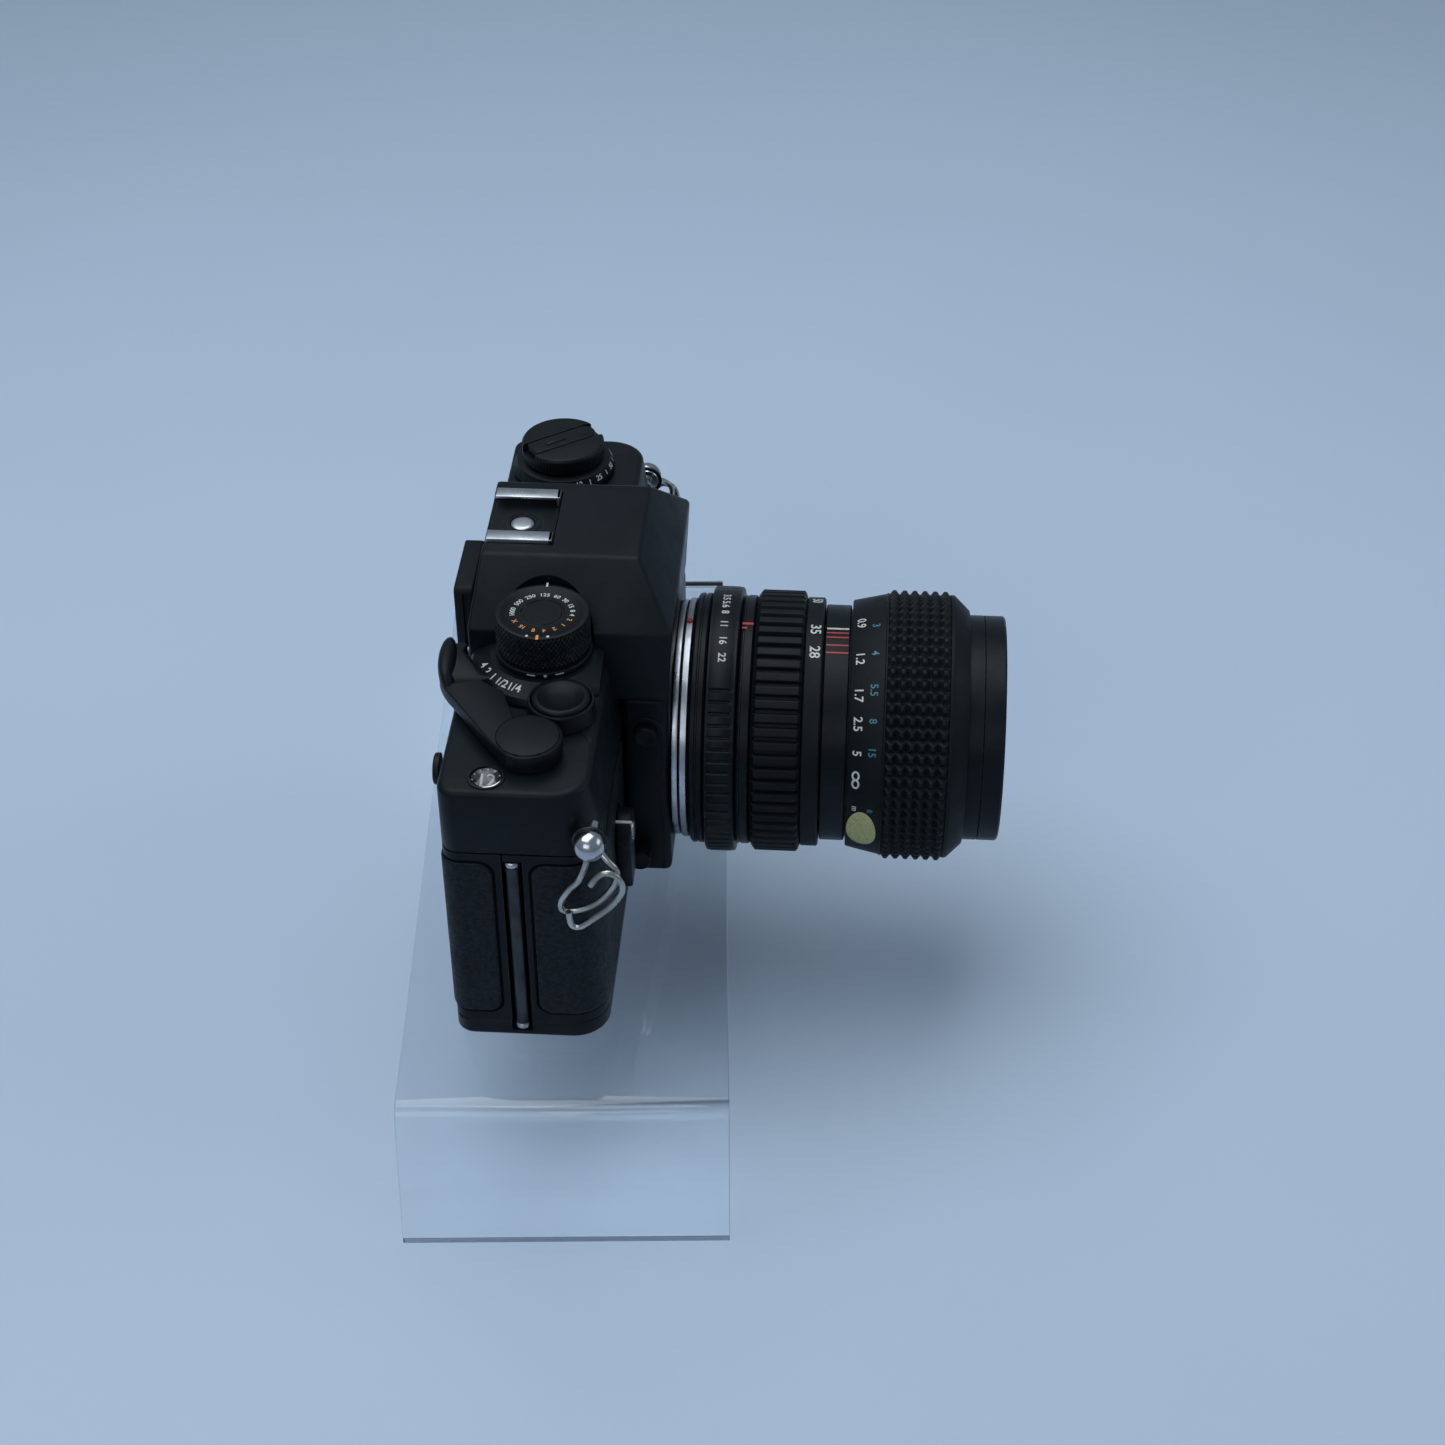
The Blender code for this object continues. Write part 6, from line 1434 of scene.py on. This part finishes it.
def make_focus_ring():
    """The focus ring: a numbered cone, six rows of pyramids, and a chamfered front."""
    rear, front, radius = along_lens("focus_ring")
    cone_end, grip_end, bore, step, tube = rear + 8.0, front - 4.0, RING_BORE, 55.5, 27.4
    columns, count, samples = 6, 68, 6
    low, high = cone_end + 0.6, grip_end - 0.6
    pitch = (high - low) / columns
    cone_start = 29.8
    profile = [(tube + 0.8, front), (radius - 0.9, grip_end + 0.5), (radius - 0.75, grip_end + 0.1),
               (radius - 0.75, high + 0.05)]
    profile += [(radius, high - pitch * i / samples) for i in range(columns * samples + 1)]
    profile += [(radius - 0.75, low - 0.05), (radius - 0.75, cone_end + 0.2),
                (radius - 1.0, cone_end), (cone_start, rear + 0.3), (cone_start - 0.3, rear),
                (bore, rear), (bore, step), (tube, step), (tube, front)]

    def pyramids(angle, reach, height):
        if reach < radius - 0.02:
            return reach
        across = abs(((angle * count / (2 * math.pi)) % 1.0) * 2 - 1)
        up = abs((((height - low) / pitch) % 1.0) * 2 - 1)
        slope = max(across, up)
        return reach - 1.05 * min(max((slope - 0.30) / 0.60, 0.0), 1.0)

    ring = turned(profile, axis="LENS", steps=count * samples * 2, shape=pyramids)
    piece("focus_grip", [ring], "focus_ring", "rubber_grip", RUBBER, "focus_ring", sharp=35.0)
    slope = (radius - 1.0 - cone_start) / 7.7
    near, far = rear + 2.1, rear + 5.6

    def reach_at(forward):
        return cone_start + slope * (forward - rear - 0.3)

    metres = [("0.9", 0.5), ("1.2", 21.6), ("1.7", 39), ("2.5", 52), ("5", 65), ("m", 93)]
    marks = [lettering(text, 2.0 if text != "m" else 1.4,
                       on_lens(angle, near, reach_at(near), slope)) for text, angle in metres]
    for shift in (-1.0, 1.0):
        wrap = on_lens(77.5 + shift * 2.0, near, reach_at(near), slope)
        marks.append(infinity_half(wrap))
    piece("focus_numbers_white", marks, "focus_ring", None, WHITE)
    feet = [("3", 3.5), ("4", 19.5), ("5.5", 37), ("8", 50.5), ("15", 64), ("ft", 93)]
    marks = [lettering(text, 1.75 if text != "ft" else 1.3,
                       on_lens(angle, far, reach_at(far), slope)) for text, angle in feet]
    piece("focus_numbers_teal", marks, "focus_ring", None, TEAL)
    label = dot(14.0, 7.0, on_lens(107.5, rear + 3.75, reach_at(rear + 3.75) + 0.05, slope), 64,
                0.12)
    piece("gold_label", [label], "focus_ring", None, GOLD)


def infinity_half(wrap):
    """One of the two loops of an infinity sign."""
    shape = bmesh.new()
    steps = 24
    rows = []
    for half_u, half_v, lift in ((1.25, 0.95, 0.0), (1.25, 0.95, 0.05), (0.80, 0.50, 0.05),
                                 (0.80, 0.50, 0.0)):
        rows.append([shape.verts.new(wrap(half_u * math.cos(2 * math.pi * i / steps),
                                          half_v * math.sin(2 * math.pi * i / steps), lift))
                     for i in range(steps)])
    for one, two in zip(rows, rows[1:] + rows[:1]):
        for i in range(steps):
            after = (i + 1) % steps
            shape.faces.new((one[i], two[i], two[after], one[after]))
    return solid(shape)


def make_front_group():
    """The front barrel with its split line, filter thread, stepped inner ring and front glass."""
    rear, front, radius = along_lens("front_tube")
    bore = 24.5
    split = front - 5.0
    profile = [(bore + 1.9, front), (radius - 0.4, front - 0.05), (radius, front - 0.5),
               (radius, split + 0.15), (radius - 0.3, split), (radius, split - 0.15),
               (radius, rear), (bore, rear), (bore, front - 6.0), (bore + 0.4, front - 5.9)]
    thread = []
    height = front - 5.4
    while height < front - 0.9:
        thread += [(bore + 0.9, height), (bore + 1.35, height + 0.25)]
        height += 0.5
    profile += thread + [(bore + 1.3, front - 0.4)]
    tube = turned(profile, axis="LENS", steps=192)
    piece("front_barrel", [tube], "front_group", "black_lens", LENS_BLACK, "front_tube",
          sharp=30.0)
    _, glass_front, glass_radius = along_lens("front_glass")
    seat = turned([(glass_radius - 0.1, glass_front + 1.6), (glass_radius - 0.1, glass_front - 4.0),
                   (21.2, glass_front - 2.6), (21.2, glass_front - 1.9), (22.0, glass_front - 0.9),
                   (22.0, glass_front - 0.3), (22.9, glass_front + 0.3),
                   (22.9, glass_front + 0.9)], axis="LENS", steps=160)
    piece("front_glass_seat", [seat], "front_group", "black_lens", INNER)
    bend = 62.0
    clear_radius = 21.6
    crown = glass_front - 0.2
    face = [(0.0, crown)]
    for index in range(1, 17):
        reach = clear_radius * index / 16
        face.append((reach, crown - (bend - math.sqrt(bend ** 2 - reach ** 2))))
    back = [(clear_radius, face[-1][1] - 2.2)]
    for index in range(15, 0, -1):
        reach = clear_radius * index / 16
        back.append((reach, crown - 6.6 + 0.004 * reach ** 2))
    glass = turned(face + back + [(0.0, crown - 6.6)], axis="LENS", steps=128)
    piece("front_element", [glass], "front_group", "glass", GLASS, "front_glass")


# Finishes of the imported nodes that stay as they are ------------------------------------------

KEPT = {
    "mirror_box": INNER, "focusing_screen": PLAIN_GLASS, "pentaprism": PLAIN_GLASS,
    "eyepiece_lens": PLAIN_GLASS, "rear_glass": GLASS, "iris_diaphragm": DARK_METAL,
    "pressure_plate": DARK_METAL, "rewind_bushing": STEEL, "rewind_unlock_button": STEEL,
    "zoom_group": INNER, "zoom_glass": GLASS, "reflex_mirror": MIRROR,
    "shutter_blade_1": DARK_METAL, "shutter_blade_2": DARK_METAL, "shutter_blade_3": DARK_METAL,
    "take_up_spool": RUBBER, "film_sprocket": STEEL,
}


def finish_kept_nodes():
    for node, finish in KEPT.items():
        thing = bpy.data.objects[node]
        thing.data.materials.clear()
        thing.data.materials.append(finish)
        rounding = thing.modifiers.new("rounding", "BEVEL")
        rounding.width = 0.00012
        rounding.segments = 2
        rounding.limit_method = "ANGLE"
        rounding.angle_limit = math.radians(50)


# Floor, light and camera ---------------------------------------------------------------------

def floor_finish():
    """Pale blue-grey card with faint mottling, and painted shade that darkens it with distance from
    the object.
    """
    material, tree, shader, place = new_material("pale_card", (0.41, 0.50, 0.62), 0.62,
                                                 Specular_IOR_Level=0.2)
    cloud = ramp(tree, noise(tree, place, 3.0, 4.0), 0.35, 0.7, 0.0, 1.0)
    shade = blend_colours(tree, cloud, (0.405, 0.500, 0.620), (0.425, 0.522, 0.645))
    # Painted shade: the card darkens with distance from a point near the object, standing in for
    # the light falling off.
    away = add(tree, "VectorMath", {0: place, 1: (0.15, 0.0, 0.0)}, operation="ADD").outputs[0]
    along = add(tree, "VectorMath", {0: away}, operation="LENGTH").outputs["Value"]
    far = add(tree, "MapRange", {"Value": along, "From Min": 0.30, "From Max": 1.15,
                                 "To Min": 0.0, "To Max": 1.0},
              interpolation_type="SMOOTHSTEP").outputs["Result"]
    shade = blend_colours(tree, far, shade, (0.245, 0.312, 0.392))
    tree.links.new(shade, shader.inputs["Base Color"])
    bump = add(tree, "Bump", {"Height": noise(tree, place, 900.0, 4.0), "Strength": 0.15,
                              "Distance": 0.0002})
    tree.links.new(bump.outputs["Normal"], shader.inputs["Normal"])
    return material


def make_floor():
    shape = bmesh.new()
    bmesh.ops.create_grid(shape, x_segments=1, y_segments=1, size=30.0)
    mesh = bpy.data.meshes.new("floor")
    shape.to_mesh(mesh)
    shape.free()
    mesh.materials.append(floor_finish())
    floor = bpy.data.objects.new("floor", mesh)
    bpy.context.scene.collection.objects.link(floor)


def area_light(name, place, target, size, power, colour):
    data = bpy.data.lights.new(name, "AREA")
    data.shape = "RECTANGLE"
    data.size, data.size_y = size
    data.energy = power
    data.color = colour
    light = bpy.data.objects.new(name, data)
    light.location = place
    light.rotation_euler = (Vector(target) - Vector(place)).to_track_quat("-Z", "Y").to_euler()
    bpy.context.scene.collection.objects.link(light)


def make_lights():
    middle_at = (0.0, 0.0, 0.06)
    for name, place, size, power, colour in (
            ("overhead", (0.15, 0.25, 1.3), (1.5, 1.1), 14.4, (0.93, 0.97, 1.0)),
            ("near_side", (-1.2, 0.35, 0.8), (0.9, 0.6), 3.2, (0.90, 0.95, 1.0)),
            ("lens_side", (0.1, -1.3, 0.7), (0.8, 0.5), 2.0, (0.92, 0.96, 1.0))):
        area_light(name, place, middle_at, size, power, colour)
    world = bpy.data.worlds.new("pale_room")
    world.use_nodes = True
    background = world.node_tree.nodes["Background"]
    background.inputs["Color"].default_value = (0.62, 0.74, 0.88, 1.0)
    background.inputs["Strength"].default_value = 0.34
    bpy.context.scene.world = world


def make_camera():
    """The view from the wind-lever end, looking down along the body."""
    data = bpy.data.cameras.new("photo_view")
    data.lens = 65.4
    data.sensor_width = 36.0
    data.clip_end = 20.0
    camera = bpy.data.objects.new("photo_view", data)
    place = ORIGIN + Vector((-498.4, -51.0, 397.0)) * MM
    forward = Vector((0.7800, 0.0530, -0.6235)).normalized()
    right = forward.cross(Vector((0, 0, 1))).normalized()
    up = right.cross(forward)
    roll = math.radians(-0.29)
    side = right * math.cos(roll) + up * math.sin(roll)
    top = up * math.cos(roll) - right * math.sin(roll)
    turn = Matrix((side, top, -forward)).transposed().to_4x4()
    camera.matrix_world = Matrix.Translation(place) @ turn
    bpy.context.scene.collection.objects.link(camera)
    bpy.context.scene.camera = camera


def main():
    make_riser()
    make_top_cover()
    make_deck_details()
    make_casting()
    make_base_cover()
    make_door()
    make_front_plate()
    make_side_buttons()
    make_self_timer()
    make_shutter_dial()
    make_compensation()
    make_release()
    make_wind_lever()
    make_rewind()
    make_shoe()
    make_eyepiece()
    make_strap_fittings()
    make_mount()
    make_aperture_ring()
    make_index_ring()
    make_zoom_ring()
    make_scale_ring()
    make_focus_ring()
    make_front_group()
    finish_kept_nodes()
    make_floor()
    make_lights()
    make_camera()


main()
bpy.context.scene.view_settings.view_transform = "Standard"
bpy.context.view_layer.update()
